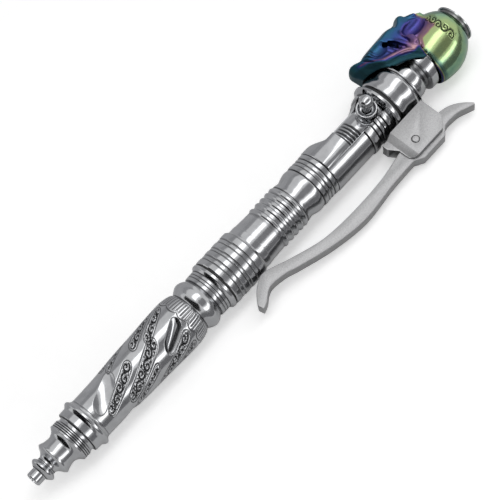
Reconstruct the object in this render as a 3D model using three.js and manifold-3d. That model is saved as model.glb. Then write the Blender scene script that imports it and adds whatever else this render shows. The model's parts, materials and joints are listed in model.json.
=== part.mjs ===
// A bolt action pen of turned and polished steel, 140 mm long, with a sprung clip lever in a square
// housing and a heat-coloured skull as its finial. Millimetres, +Z up. The pen lies on a surface with
// its tip towards -X and its clip on the -Y side; it rests on the widest flange and the clip housing.

import * as THREE from 'three';
import { mergeVertices } from 'three/addons/utils/BufferGeometryUtils.js';
import Module from 'manifold-3d';

const wasm = await Module();
wasm.setup();

// Lengths along the pen, from the tip to the tail
const noseLength = 17.6;
const gripLength = 39.2;
const jointRingWidth = 0.4;
const midLength = 33.9;
const rearLength = 20.3;
const sealWidth = 0.9;
const collarLength = 6.1;
const neckLength = 8.2;
const skullHeight = 19.2;
const buttonHeight = 1.9;

// Outer radii of the turned body
const tipRadius = 1.73;
const tipBeadRadius = 3.0;
const tipNeckRadius = 2.3;
const coneRidgeRadius = 4.14;
const coneEdgeRadius = 4.93;
const noseBandRadius = 5.4;
const noseRidgeRadius = 6.11;
const gripFrontRadius = 5.25;
const gripBackRadius = 6.12;
const gripBeadRadius = 6.04;
const gripEndRadius = 6.13;
const bandRadius = 6.14;
const waistRadius = 5.28;
const ringRadius = 5.53;
const vaseRadius = 5.64;
const rearRingRadius = 5.68;
const rearRadius = 5.8;
const rearBandRadius = 6.1;
const flangeRadius = 6.85;
const flangeWidth = 1.1;
const collarRadius = 6.5;
const neckRadius = 5.8;
const grooveDepth = 0.28;

// Bores, wall fits and threads
const tipBore = 1.25;
const springBore = 2.1;
const refillBore = 3.2;
const boltBore = 3.9;
const spigotRadius = 4.2;
const spigotLength = 6.4;
const rearSpigotRadius = 4.7;
const rearSpigotLength = 4.0;
const fitGap = 0.1;
const seatGap = 0.3;

// Refill, a metal one with a stepped tip
const pointSetback = 1.0;
const refillTipRadius = 1.15;
const refillRadius = 2.95;
const refillTipLength = 14.2;
const pointLength = 2.4;
const ballRadius = 0.35;
const plugLength = 4.0;

// Return spring round the refill's tip
const springSeat = 5.3;
const springWire = 0.18;
const springRadius = 1.7;
const springTurns = 7;

// Bolt: a cylinder with a grip of fine grooves, a round boss and a ball on a post
const boltRadius = 3.75;
const boltLength = 14.2;
const boltSocketDepth = 3.2;
const boltTravel = 5.5;
const boltTurn = 12;
const bossRadius = 2.45;
const bossInset = 3.2;
const bossBore = 1.75;
const bossHeight = 6.6;
const postRadius = 1.0;
const knobRadius = 1.65;
const knobHeight = 9.4;
const gripGrooves = 5;
const gripGroovePitch = 0.85;
const gripGrooveDepth = 0.3;

// Cuts in the rear barrel: the thumb scoop on the side away from the clip, and the bolt's window
const scoopAngle = 160;
const scoopFlat = 4.2;
const scoopStart = 1.7;
const scoopRamp = 3.9;
const scoopFlatLength = 9.7;
const windowLength = 12.2;
const windowEnd = 0.8;
const thumbWindowAngle = 178;

// Spiral flutes of the grip
const fluteCount = 3;
const fluteDepth = 0.9;
const fluteTwist = 5;
const fluteAngle = 66;
const fluteMiddle = 25.4;
const fluteStart = 1.6;
const fluteEnd = 29.4;

// Clip
const pinStandoff = 5.66;
const pinRadius = 0.85;
const pinHeadHeight = 0.2;
const pinFromCollar = -2.9;
const leverThickness = 3.0;
const leverGap = 0.15;
const housingWidth = 5.7;
const housingFront = 4.1;
const housingBack = 8.1;
const housingTop = 2.9;
const housingNose = 1.4;
const housingChamfer = 2.3;
const slotFloor = 3.2;
const clipReach = 45.0;
const clipRest = 0.36;
const leverBevel = 0.25;
const clipSpringRadius = 0.85;
const clipSpringWire = 0.14;
const clipSpringTurns = 4;
const clipSpringArm = 5.1;
const clipScrewRadius = 0.8;
const clipScrewPitch = 2.7;

// Neck, skull and button
const studRadius = 2.4;
const studLength = 5.2;
const finialStudRadius = 1.2;
const finialStudDepth = 5.0;
const craniumRadius = 7.4;
const skullHalfWidth = 6.6;
const domeTopRadius = 4.7;
const domeLean = 1.1;
const browReach = 9.9;
const bridgeReach = 11.3;
const chinReach = 11.15;
const chinWidth = 2.0;
const jawWidth = 13.6;
const cheekWidth = 12.4;
const jawDrop = 6.5;
const buttonRadius = 4.8;
const buttonOffset = 0.93;
const washerHeight = 0.5;
const washerRadius = 4.2;

const BODY_SIDES = 20;
const SMALL_SIDES = 16;
const DEGREE = Math.PI / 180;

// Stations along the pen
const gripStart = noseLength;
const gripEnd = gripStart + gripLength;
const midStart = gripEnd + jointRingWidth;
const midEnd = midStart + midLength;
const rearEnd = midEnd + rearLength;
const collarStart = rearEnd + sealWidth;
const collarEnd = collarStart + collarLength;
const neckEnd = collarEnd + neckLength;
const skullTop = collarEnd + skullHeight;
const washerTop = skullTop + washerHeight;
const penLength = skullTop + buttonHeight;

const boltEnd = rearEnd - seatGap - windowEnd;
const boltStart = boltEnd - boltLength;
const knobX = boltEnd - bossInset;
const refillEnd = boltStart + boltSocketDepth - fitGap;
const refillShoulder = pointSetback + refillTipLength;
const windowStart = boltEnd + seatGap - windowLength;
const pinX = collarStart + pinFromCollar;
const pinC = bandRadius + pinStandoff;

// Geometry helpers

// One closed mesh with shared vertices, no collapsed faces, and its faces pointing out
function closed(geometry) {
  const bare = geometry.clone();
  bare.deleteAttribute('normal');
  bare.deleteAttribute('uv');
  const merged = mergeVertices(bare, 1e-4);
  const kept = [];
  for (let i = 0; i < merged.index.count; i += 3) {
    const [a, b, c] = [0, 1, 2].map((k) => merged.index.getX(i + k));
    if (a !== b && b !== c && a !== c) kept.push(a, b, c);
  }
  if (signedVolume(merged.attributes.position, kept) < 0) kept.reverse();
  merged.setIndex(kept);
  return merged;
}

function signedVolume(position, index) {
  const [a, b, c] = [new THREE.Vector3(), new THREE.Vector3(), new THREE.Vector3()];
  let volume = 0;
  for (let i = 0; i < index.length; i += 3) {
    a.fromBufferAttribute(position, index[i]);
    b.fromBufferAttribute(position, index[i + 1]);
    c.fromBufferAttribute(position, index[i + 2]);
    volume += a.dot(b.cross(c)) / 6;
  }
  return volume;
}

function toSolid(geometry) {
  const mesh = closed(geometry);
  return new wasm.Manifold(new wasm.Mesh({
    numProp: 3,
    vertProperties: new Float32Array(mesh.attributes.position.array),
    triVerts: new Uint32Array(mesh.index.array),
  }));
}

function toGeometry(solid) {
  const mesh = solid.getMesh();
  const geometry = new THREE.BufferGeometry();
  geometry.setAttribute('position', new THREE.BufferAttribute(new Float32Array(mesh.vertProperties), 3));
  geometry.setIndex(Array.from(mesh.triVerts));
  return geometry;
}

const cut = (base, ...tools) => toGeometry(tools.reduce((s, t) => s.subtract(toSolid(t)), toSolid(base)));
const join = (base, ...more) => toGeometry(more.reduce((s, m) => s.add(toSolid(m)), toSolid(base)));

// Revolves a list of [x, radius] points about the X axis
function turned(points, sides = BODY_SIDES) {
  const profile = points.map(([x, r]) => new THREE.Vector2(r, x));
  return closed(new THREE.LatheGeometry(profile, sides).rotateZ(-Math.PI / 2));
}

// A turned tube: its outer points from front to back, then its bore's points from back to front
function turnedTube(outer, bore, sides = BODY_SIDES) {
  return turned([...outer, ...[...bore].reverse(), outer[0]], sides);
}

// Points between two ends along a round bow that rises by so much in the middle
function bow([x0, r0], [x1, r1], rise, steps = 3) {
  return Array.from({ length: steps + 1 }, (_, i) => {
    const t = i / steps;
    return [x0 + (x1 - x0) * t, r0 + (r1 - r0) * t + rise * Math.sin(Math.PI * t)];
  });
}

// Raised bands of one width with narrow grooves between them
function bands(start, widths, crest, groove) {
  const points = [];
  let x = start;
  for (const width of widths) {
    points.push([x, crest - grooveDepth], [x + groove / 2, crest]);
    points.push([x + width - groove / 2, crest], [x + width, crest - grooveDepth]);
    x += width;
  }
  return points;
}

// A cylinder along X, along the pen's own Z, or along its own Y, from one place to another
function rod(radius, from, to, sides = SMALL_SIDES) {
  return turned([[from, 0], [from, radius], [to, radius], [to, 0]], sides);
}

function post(radius, from, to, sides = SMALL_SIDES) {
  return closed(rod(radius, from, to, sides).rotateY(-Math.PI / 2));
}

function crossRod(radius, from, to, sides = SMALL_SIDES) {
  return closed(rod(radius, from, to, sides).rotateZ(-Math.PI / 2));
}

function box(x0, x1, y0, y1, z0, z1) {
  const geometry = new THREE.BoxGeometry(x1 - x0, y1 - y0, z1 - z0);
  return geometry.translate((x0 + x1) / 2, (y0 + y1) / 2, (z0 + z1) / 2);
}

function ellipsoid(x, y, z, sizeX, sizeY, sizeZ, across = 16, along = 10) {
  const geometry = new THREE.SphereGeometry(1, across, along);
  return closed(geometry.rotateZ(-Math.PI / 2).scale(sizeX, sizeY, sizeZ).translate(x, y, z));
}

class Helix extends THREE.Curve {
  constructor(radius, height, turns) {
    super();
    Object.assign(this, { radius, height, turns });
  }

  getPoint(t) {
    const angle = t * this.turns * 2 * Math.PI;
    return new THREE.Vector3(t * this.height, this.radius * Math.cos(angle), this.radius * Math.sin(angle));
  }
}

// A coil spring along X, from x = 0
function coil(radius, wire, length, turns) {
  const section = new THREE.Shape();
  const corners = 4;
  for (let i = 0; i < corners; i += 1) {
    const angle = (i / corners) * 2 * Math.PI;
    section[i ? 'lineTo' : 'moveTo'](wire * Math.cos(angle), wire * Math.sin(angle));
  }
  const path = new Helix(radius, length - 2 * wire, turns);
  const options = { steps: turns * 7, extrudePath: path, curveSegments: 1 };
  return closed(new THREE.ExtrudeGeometry(section, options).translate(wire, 0, 0));
}

// Turned body

function noseCone() {
  const outer = [
    [0, tipRadius - 0.3],
    [0.3, tipRadius],
    [2.06, tipRadius],
    ...bow([2.3, tipNeckRadius], [3.95, tipNeckRadius], tipBeadRadius - tipNeckRadius),
    [4.9, tipNeckRadius + 0.1],
    [6.2, coneRidgeRadius],
    ...bow([6.5, coneRidgeRadius], [10.1, coneRidgeRadius + 0.25], -0.68),
    [10.63, coneEdgeRadius],
    ...bands(10.95, [0.45, 0.45, 0.5], coneEdgeRadius - 0.05, 0.15),
    [13.3, coneEdgeRadius - 0.4],
    [13.64, noseBandRadius],
    [15.3, noseBandRadius],
    [16.35, noseRidgeRadius],
    [17.1, noseRidgeRadius - 0.6],
    [noseLength, gripFrontRadius - 0.15],
    [noseLength, spigotRadius],
    [noseLength + spigotLength, spigotRadius],
  ];
  const shoulder = refillShoulder - boltTravel;
  const bore = [
    [0, tipBore],
    [springSeat, tipBore],
    [springSeat, springBore],
    [shoulder - 0.4, springBore],
    [shoulder, refillBore],
    [noseLength + spigotLength, refillBore],
  ];
  return turnedTube(outer, bore);
}

// The grip's radius before the flutes, along its own length
function gripRadius(x) {
  const t = THREE.MathUtils.clamp((x - fluteStart) / (fluteEnd - fluteStart), 0, 1);
  return gripFrontRadius + (gripBackRadius - gripFrontRadius) * t * t * (3 - 2 * t) * 0.9;
}

// How far a flute lowers the surface there
function fluteCut(x, angle) {
  const along = THREE.MathUtils.clamp((x - fluteStart) / (fluteEnd - fluteStart), 0, 1);
  const middle = fluteAngle + fluteTwist * (x - fluteMiddle);
  const across = 0.5 + 0.5 * Math.cos(fluteCount * (angle - middle) * DEGREE);
  return fluteDepth * across ** 3 * Math.sin(Math.PI * along) ** 0.6;
}

function frontBarrel() {
  const steps = 11;
  const spiral = Array.from({ length: steps + 1 }, (_, i) => {
    const x = fluteStart + ((fluteEnd - fluteStart) * i) / steps;
    return [gripStart + x, gripRadius(x)];
  });
  const groove = gripStart + fluteEnd + 1.5;
  const outer = [
    [gripStart, gripFrontRadius - 0.1],
    ...spiral,
    [groove - 0.2, gripFrontRadius - 0.2],
    ...bow([groove + 0.3, gripFrontRadius + 0.05], [groove + 4.2, gripFrontRadius], gripBeadRadius - gripFrontRadius, 4),
    [groove + 4.6, gripFrontRadius - 0.14],
    ...bands(groove + 4.9, [1.0, 1.0], gripFrontRadius + 0.2, 0.3),
    [groove + 7.9, gripEndRadius],
    [gripEnd, gripEndRadius],
    [gripEnd, spigotRadius + fitGap],
    [gripEnd - spigotLength, spigotRadius + fitGap],
  ];
  const bore = [
    [gripStart, spigotRadius + fitGap],
    [gripStart + spigotLength + seatGap, spigotRadius + fitGap],
    [gripStart + spigotLength + seatGap, refillBore],
    [gripEnd - spigotLength, refillBore],
  ];
  const sides = 24;
  const body = turnedTube(outer, bore, sides);
  const position = body.attributes.position;
  for (let i = 0; i < position.count; i += 1) {
    const [x, y, z] = [position.getX(i), position.getY(i), position.getZ(i)];
    const r = Math.hypot(y, z);
    if (r < gripFrontRadius - 0.01) continue;
    const k = 1 - fluteCut(x - gripStart, Math.atan2(z, -y) / DEGREE) / r;
    position.setXYZ(i, x, y * k, z * k);
  }
  return body;
}

function jointRing() {
  const outer = [[gripEnd, bandRadius - 0.12], [midStart, bandRadius - 0.12]];
  const bore = [[gripEnd, spigotRadius + fitGap], [midStart, spigotRadius + fitGap]];
  return turnedTube(outer, bore);
}

function midBarrel() {
  const x = midStart;
  const plain = x + 9.7;
  const swell = waistRadius + 0.15;
  const seat = midEnd - rearSpigotLength - seatGap;
  const outer = [
    [x - spigotLength + seatGap, spigotRadius],
    [x, spigotRadius],
    ...bands(x, [2.15, 2.35, 2.5, 2.35], bandRadius, 0.4),
    [plain, waistRadius + 0.3],
    ...bow([plain + 1.25, waistRadius + 0.28], [plain + 5.6, waistRadius], -0.05, 2),
    ...bands(plain + 5.7, [1.5, 1.8, 1.6, 1.6, 1.6], ringRadius, 0.9),
    ...bow([plain + 13.9, waistRadius], [plain + 16.5, waistRadius + 0.1], -0.15, 3),
    ...bow([plain + 16.8, swell], [plain + 18.9, swell], vaseRadius - swell, 4),
    ...bands(plain + 19.1, [1.2, 1.0, 1.1, 1.2], rearRingRadius, 0.6),
    [midEnd, rearRingRadius],
    [midEnd, rearSpigotRadius + fitGap],
    [seat, rearSpigotRadius + fitGap],
  ];
  const boltLimit = boltStart - boltTravel - seatGap;
  const bore = [
    [x - spigotLength + seatGap, refillBore],
    [boltLimit, refillBore],
    [boltLimit, boltBore],
    [seat, boltBore],
  ];
  if (boltLimit >= seat) bore.splice(1, 3, [seat, refillBore]);
  return turnedTube(outer, bore);
}

// Cutter for the thumb scoop: a flat with a ramp at each end, square to its own direction
function scoopCutter() {
  const x = midEnd + scoopStart;
  const top = flangeRadius + 4;
  const flatEnd = x + scoopRamp + scoopFlatLength;
  const outline = new THREE.Shape();
  outline.moveTo(x, top);
  outline.lineTo(x, rearRadius);
  outline.quadraticCurveTo(x + scoopRamp * 0.45, rearRadius - 0.1, x + scoopRamp * 0.6, scoopFlat + 0.5);
  outline.quadraticCurveTo(x + scoopRamp * 0.75, scoopFlat, x + scoopRamp, scoopFlat);
  outline.lineTo(flatEnd, scoopFlat);
  outline.lineTo(rearEnd - flangeWidth, flangeRadius);
  outline.lineTo(rearEnd - flangeWidth, top);
  const width = 4 * flangeRadius;
  const plate = new THREE.ExtrudeGeometry(outline, { depth: width, bevelEnabled: false, curveSegments: 4 });
  return closed(plate.translate(0, 0, -width / 2).rotateX((180 - scoopAngle) * DEGREE));
}

// Window for the bolt's boss, which also lets the boss turn
function bossWindow() {
  const side = bossRadius + seatGap;
  const straight = box(windowStart, boltEnd + seatGap, -side, side, 0, flangeRadius + 2);
  const swung = straight.clone().rotateX(-boltTurn * DEGREE);
  return join(straight, swung);
}

// The grip of the bolt shows as far round as the scoop
function thumbWindow() {
  const from = Math.asin((bossRadius + seatGap) / rearRadius) / DEGREE;
  const reach = thumbWindowAngle - (90 - from);
  const end = midEnd + scoopStart + scoopRamp + scoopFlatLength;
  const sector = new THREE.Shape();
  sector.moveTo(0, 0);
  sector.absarc(0, 0, flangeRadius + 2, 0, reach * DEGREE, false);
  const plate = new THREE.ExtrudeGeometry(sector, { depth: end - windowStart, bevelEnabled: false, curveSegments: 8 });
  const turn = (180 - thumbWindowAngle) * DEGREE;
  return closed(plate.rotateY(Math.PI / 2).rotateX(turn).translate(windowStart, 0, 0));
}

function rearBarrel() {
  const x = midEnd;
  const outer = [
    [x - rearSpigotLength, rearSpigotRadius],
    [x, rearSpigotRadius],
    [x, rearRadius],
    [rearEnd - 8.6, rearRadius],
    ...bands(rearEnd - 8.5, [1.8, 1.75, 1.75, 1.75], rearBandRadius, 0.7),
    [rearEnd - flangeWidth, flangeRadius - 0.2],
    [rearEnd - flangeWidth + 0.2, flangeRadius],
    [rearEnd - 0.2, flangeRadius],
    [rearEnd, flangeRadius - 0.2],
  ];
  const bore = [[x - rearSpigotLength, boltBore], [rearEnd, boltBore]];
  return cut(turnedTube(outer, bore), scoopCutter(), bossWindow(), thumbWindow());
}

function sealRing() {
  const outer = [[rearEnd, rearRadius], [collarStart, rearRadius]];
  const bore = [[rearEnd, boltBore - fitGap], [collarStart, boltBore - fitGap]];
  return turnedTube(outer, bore);
}

function collar() {
  const plug = boltBore - 2 * fitGap;
  const outer = [
    [boltEnd + seatGap, 0],
    [boltEnd + seatGap, plug],
    [collarStart, plug],
    [collarStart, collarRadius - 0.5],
    [collarStart + 0.4, collarRadius - 0.2],
    ...bow([collarStart + 0.8, collarRadius - 0.15], [collarStart + 3.6, collarRadius - 0.15], 0.15, 3),
    [collarStart + 3.8, collarRadius - 0.4],
    [collarStart + 4.2, collarRadius - 0.05],
    [collarEnd - 0.8, collarRadius],
    [collarEnd - 0.1, collarRadius - 0.6],
    [collarEnd, collarRadius - 1.1],
    [collarEnd, studRadius + fitGap],
    [collarEnd - studLength - seatGap, studRadius + fitGap],
    [collarEnd - studLength - seatGap, 0],
  ];
  return cut(turned(outer), ...screwPlaces().map((x) => crossRod(clipScrewRadius + seatGap, 0, flangeRadius + 1).translate(x, 0, 0)));
}

function neckPost() {
  const step = collarEnd + neckLength * 0.44;
  const outer = [
    [collarEnd - studLength, 0],
    [collarEnd - studLength, studRadius],
    [collarEnd, studRadius],
    [collarEnd, neckRadius - 0.6],
    ...bow([collarEnd + 0.3, neckRadius - 0.5], [step - 0.2, neckRadius - 0.3], 0.25, 3),
    [step, neckRadius - 0.45],
    [step + 0.5, neckRadius - 0.35],
    [step + 0.8, neckRadius],
    [neckEnd, neckRadius],
    [neckEnd, finialStudRadius + fitGap],
    [neckEnd - finialStudDepth, finialStudRadius + fitGap],
    [neckEnd - finialStudDepth, 0],
  ];
  return turned(outer);
}

// Refill and return spring

function refillTip() {
  const x = pointSetback;
  const outer = [
    [x + ballRadius * 0.8, 0.25],
    [x + ballRadius * 0.8, ballRadius + 0.12],
    [x + pointLength * 0.45, 0.6],
    [x + pointLength * 0.5, refillTipRadius * 0.8],
    [x + pointLength, refillTipRadius],
    [refillShoulder + 2, refillTipRadius],
  ];
  const bore = [
    [x + ballRadius * 0.8, 0.25],
    [x + ballRadius * 0.8 + 0.5, 0.25],
    [x + pointLength, refillTipRadius * 0.5],
    [refillShoulder + 2, refillTipRadius * 0.5],
  ];
  return turned([...outer, ...bore.slice(1).reverse(), outer[0]], SMALL_SIDES);
}

function refillBall() {
  return closed(new THREE.SphereGeometry(ballRadius * 0.8, 10, 8).translate(pointSetback + ballRadius * 0.8 - 0.08, 0, 0));
}

function refillTube() {
  const outer = [
    [refillShoulder, refillTipRadius + fitGap],
    [refillShoulder, refillRadius * 0.75],
    [refillShoulder + 1, refillRadius],
    [refillEnd - plugLength, refillRadius],
  ];
  const bore = [
    [refillShoulder + 2.2, refillTipRadius + fitGap],
    [refillShoulder + 2.2, refillRadius - 0.3],
    [refillEnd - plugLength, refillRadius - 0.3],
  ];
  return turnedTube(outer, bore, SMALL_SIDES);
}

function refillPlug() {
  const inner = refillRadius - 0.3 - fitGap;
  const outer = [
    [refillEnd - plugLength - 3, 0],
    [refillEnd - plugLength - 3, inner],
    [refillEnd - plugLength, inner],
    [refillEnd - plugLength, refillRadius],
    [refillEnd, refillRadius],
    [refillEnd, 0],
  ];
  return turned(outer, SMALL_SIDES);
}

function returnSpring() {
  const length = refillShoulder - springSeat - 2 * fitGap;
  return coil(springRadius, springWire, length, springTurns).translate(springSeat + fitGap, 0, 0);
}

// Bolt

function boltBody() {
  const grip = windowStart + 0.5;
  const outer = [
    [boltStart, boltRadius - 0.3],
    [boltStart + 0.3, boltRadius],
    [grip, boltRadius],
  ];
  for (let i = 0; i < gripGrooves; i += 1) {
    const x = grip + i * gripGroovePitch;
    outer.push([x + gripGroovePitch * 0.4, boltRadius - gripGrooveDepth]);
    outer.push([x + gripGroovePitch, boltRadius]);
  }
  const socket = boltStart + boltSocketDepth;
  const rim = refillRadius + fitGap;
  outer.push([boltEnd - 0.3, boltRadius], [boltEnd, boltRadius - 0.3], [boltEnd, 0]);
  const body = turned([...outer, [socket, 0], [socket, rim], [boltStart, rim], outer[0]]);
  const seat = post(bossRadius + seatGap, bossSeat(), flangeRadius, BODY_SIDES).translate(knobX, 0, 0);
  const hole = post(postRadius + fitGap, bossSeat() - 2, flangeRadius).translate(knobX, 0, 0);
  return cut(body, seat, hole);
}

// Height of the flat that the boss stands on
function bossSeat() {
  return boltRadius - 1.0;
}

function boltBoss() {
  const foot = bossSeat() + fitGap;
  const rim = bossHeight - 0.4;
  const ring = turned([
    [foot, postRadius + fitGap],
    [foot, bossRadius],
    [rim, bossRadius],
    [bossHeight, bossRadius - 0.4],
    [bossHeight, bossBore],
    [foot + 1.2, bossBore - 0.3],
    [foot + 1.2, postRadius + fitGap],
    [foot, postRadius + fitGap],
  ], 24);
  return closed(ring.rotateY(-Math.PI / 2).translate(knobX, 0, 0));
}

function boltKnob() {
  const stem = post(postRadius, bossSeat() - 2 + fitGap, knobHeight, SMALL_SIDES);
  const ball = closed(new THREE.SphereGeometry(knobRadius, 16, 10).translate(0, 0, knobHeight));
  return join(stem, ball).translate(knobX, 0, 0);
}

// Clip

// The two screws that hold the housing, placed either side of the collar's middle
function screwPlaces() {
  const middle = collarEnd - studLength / 2;
  return [middle - clipScrewPitch / 2, middle + clipScrewPitch / 2];
}

function clipHousing() {
  const [front, back] = [pinX - housingFront, pinX + housingBack];
  const top = pinC + housingTop;
  const outline = new THREE.Shape();
  outline.moveTo(front - housingNose, -4);
  outline.lineTo(front - housingNose, -(pinC - 3.4));
  outline.lineTo(front, -(pinC - 1.2));
  outline.lineTo(front, -(top - 2.6));
  outline.quadraticCurveTo(front + 0.3, -top, front + 2.4, -top);
  outline.lineTo(back - housingChamfer, -top);
  outline.lineTo(back, -(top - housingChamfer));
  outline.lineTo(back, -4);
  const bevel = 0.35;
  const block = new THREE.ExtrudeGeometry(outline, {
    depth: housingWidth - 2 * bevel,
    bevelEnabled: true,
    bevelThickness: bevel,
    bevelSize: bevel,
    bevelOffset: -bevel,
    bevelSegments: 1,
    curveSegments: 4,
  });
  block.translate(0, 0, -housingWidth / 2 + bevel);
  const body = rod(flangeRadius + seatGap, front - 5, back + 5, BODY_SIDES);
  const half = leverThickness / 2 + leverGap;
  const floor = pinC - slotFloor;
  const slot = box(front - 5, back + 5, -top - 2, -floor, -half, half);
  const pinHole = post(pinRadius + fitGap, -housingWidth, housingWidth).translate(pinX, -pinC, 0);
  const screws = screwPlaces().map((x) => crossRod(clipScrewRadius + seatGap, 0, floor - 0.6).translate(x, 0, 0));
  return cut(block, body, slot, pinHole, ...screws);
}

// Side view of the lever, as [along, outwards] from its pin, from the contact end to the thumb end
function leverOutline() {
  const contact = bandRadius + clipRest - pinC;
  const inner = [
    [-clipReach - 5.9, contact + 4.2],
    [-clipReach - 3.9, contact + 2.1],
    [-clipReach - 1.9, contact + 0.7],
    [-clipReach, contact],
    [-clipReach + 1.6, contact + 0.25],
    [-clipReach + 3.6, contact + 1.0],
    [-clipReach + 7.1, contact + 2.4],
    [-clipReach * 0.668, -0.45],
    [-clipReach * 0.464, 0.3],
    [-clipReach * 0.259, 0.05],
    [-5.4, -0.9],
    [-2.4, -1.35],
    [2.6, -1.35],
    [8.3, -0.8],
    [11.3, -0.05],
    [13.6, 1.5],
    [15.5, 3.7],
  ];
  const thumb = [[15.3, 4.2], [13.6, 3.5], [11.3, 2.6], [8.3, 2.3]];
  const belly = [[7.1, 2.5], [5.2, 4.0], [-1.7, 4.0], [-3.8, 2.7]];
  const arm = [
    [-5.4, 2.7],
    [-clipReach * 0.259, 2.9],
    [-clipReach * 0.464, 3.6],
    [-clipReach * 0.668, 2.2],
    [-clipReach + 7.1, contact + 5.15],
    [-clipReach + 3.6, contact + 3.9],
    [-clipReach, contact + 3.3],
    [-clipReach - 1.9, contact + 3.8],
    [-clipReach - 3.9, contact + 5.1],
    [-clipReach - 5.6, contact + 5.7],
  ];
  const outline = new THREE.Shape();
  const flat = (points) => points.map(([x, c]) => new THREE.Vector2(x, -c));
  outline.moveTo(inner[0][0], -inner[0][1]);
  outline.splineThru(flat(inner.slice(1)));
  outline.lineTo(thumb[0][0], -thumb[0][1]);
  outline.splineThru(flat(thumb.slice(1)));
  for (const [x, c] of belly) outline.lineTo(x, -c);
  outline.lineTo(arm[0][0], -arm[0][1]);
  outline.splineThru(flat(arm.slice(1)));
  return outline;
}

function clipLever() {
  const blade = new THREE.ExtrudeGeometry(leverOutline(), {
    depth: leverThickness - 2 * leverBevel,
    bevelEnabled: true,
    bevelThickness: leverBevel,
    bevelSize: leverBevel,
    bevelOffset: -leverBevel,
    bevelSegments: 1,
    curveSegments: 2,
  });
  blade.translate(pinX, -pinC, -leverThickness / 2 + leverBevel);
  const hole = post(pinRadius + fitGap, -leverThickness, leverThickness).translate(pinX, -pinC, 0);
  return cut(blade, hole);
}

function clipPin() {
  const half = housingWidth / 2;
  const pin = turned([
    [-half - pinHeadHeight, 0],
    [-half - pinHeadHeight, pinRadius],
    [half + pinHeadHeight, pinRadius],
    [half + pinHeadHeight, 0],
  ], SMALL_SIDES);
  return closed(pin.rotateY(-Math.PI / 2).translate(pinX, -pinC, 0));
}

function clipSpring() {
  const floor = pinC - slotFloor + fitGap;
  const height = 1.35 * (slotFloor / 3.2) + 0.1;
  const spring = coil(clipSpringRadius, clipSpringWire, height, clipSpringTurns);
  return spring.rotateZ(-Math.PI / 2).translate(pinX + clipSpringArm, -floor, 0);
}

function clipScrew(x) {
  const start = studRadius + fitGap + seatGap;
  const tip = pinC - slotFloor - 0.9;
  return crossRod(clipScrewRadius, start, tip).translate(x, 0, 0);
}

// Skull and button

// The cranium, whose round sections move towards the face as they near the button
function cranium() {
  const rim = neckEnd - 0.4;
  const dome = turned([
    [rim, 0],
    [rim, craniumRadius - 1.0],
    [rim + 1.2, craniumRadius - 0.55],
    [rim + 4.2, craniumRadius],
    [rim + 6.5, craniumRadius - 0.15],
    [rim + 8.0, craniumRadius - 0.6],
    [rim + 9.0, craniumRadius - 1.05],
    [skullTop - 1.0, (craniumRadius + domeTopRadius) / 2 - 0.6],
    [skullTop - 0.2, domeTopRadius],
    [skullTop, domeTopRadius - 0.2],
    [skullTop, 0],
  ], 24).scale(1, 1, skullHalfWidth / craniumRadius);
  const position = dome.attributes.position;
  for (let i = 0; i < position.count; i += 1) {
    const along = (position.getX(i) - rim) / (skullTop - rim);
    position.setY(i, position.getY(i) + domeLean * along);
  }
  return dome;
}

// The jaw and the middle of the face: a turned outline, cut to a side view and to a plan that tapers
function jawAndFace(chin) {
  const top = skullTop;
  const reach = turned([
    [chin - 0.2, 0],
    [chin - 0.2, chinReach - 1.1],
    [chin + 0.3, chinReach - 0.35],
    [chin + 1.2, chinReach],
    [chin + 2.8, chinReach - 0.3],
    [chin + 4.2, chinReach - 0.85],
    [chin + 5.8, chinReach - 0.5],
    [chin + 12.5, chinReach - 0.2],
    [chin + 14.7, chinReach - 0.95],
    [top - 9.6, chinReach - 0.75],
    [top - 8.4, bridgeReach - 0.1],
    [top - 7.4, bridgeReach - 0.4],
    [top - 6.6, browReach - 0.3],
    [top - 6.6, 0],
  ], 48);
  const profile = new THREE.Shape();
  profile.moveTo(chin - 1, chinReach + 1);
  profile.lineTo(top, chinReach + 1);
  profile.lineTo(top, 1);
  profile.lineTo(top - 12, -0.5);
  profile.lineTo(chin + 12, 0);
  profile.lineTo(chin + 9, 1.9);
  profile.lineTo(chin + 6.2, 2.9);
  profile.lineTo(chin + 5.1, 4.9);
  profile.lineTo(chin + 4.2, collarRadius + 0.5);
  profile.lineTo(chin + 1.2, collarRadius + 0.4);
  profile.lineTo(chin - 0.3, chinReach - 1.2);
  const side = 2 * jawWidth;
  const slab = new THREE.ExtrudeGeometry(profile, { depth: side, bevelEnabled: false }).translate(0, 0, -side / 2);
  const plan = new THREE.Shape();
  const halves = [
    [chin - 0.5, chinWidth * 0.4],
    [chin + 1.2, chinWidth * 0.9],
    [chin + 4.2, jawWidth * 0.27],
    [chin + 5.1, jawWidth * 0.42],
    [chin + 6.2, jawWidth * 0.49],
    [chin + 9, jawWidth / 2],
    [chin + 13, cheekWidth / 2],
    [chin + 17, cheekWidth * 0.42],
    [top - 6, cheekWidth * 0.18],
  ];
  plan.moveTo(...halves[0]);
  for (const [x, half] of halves.slice(1)) plan.lineTo(x, half);
  for (const [x, half] of [...halves].reverse()) plan.lineTo(x, -half);
  const plate = new THREE.ExtrudeGeometry(plan, { depth: chinReach + 4, bevelEnabled: false });
  plate.rotateX(Math.PI / 2).translate(0, chinReach + 2, 0);
  return toGeometry(toSolid(reach).intersect(toSolid(slab)).intersect(toSolid(plate)));
}

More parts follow.
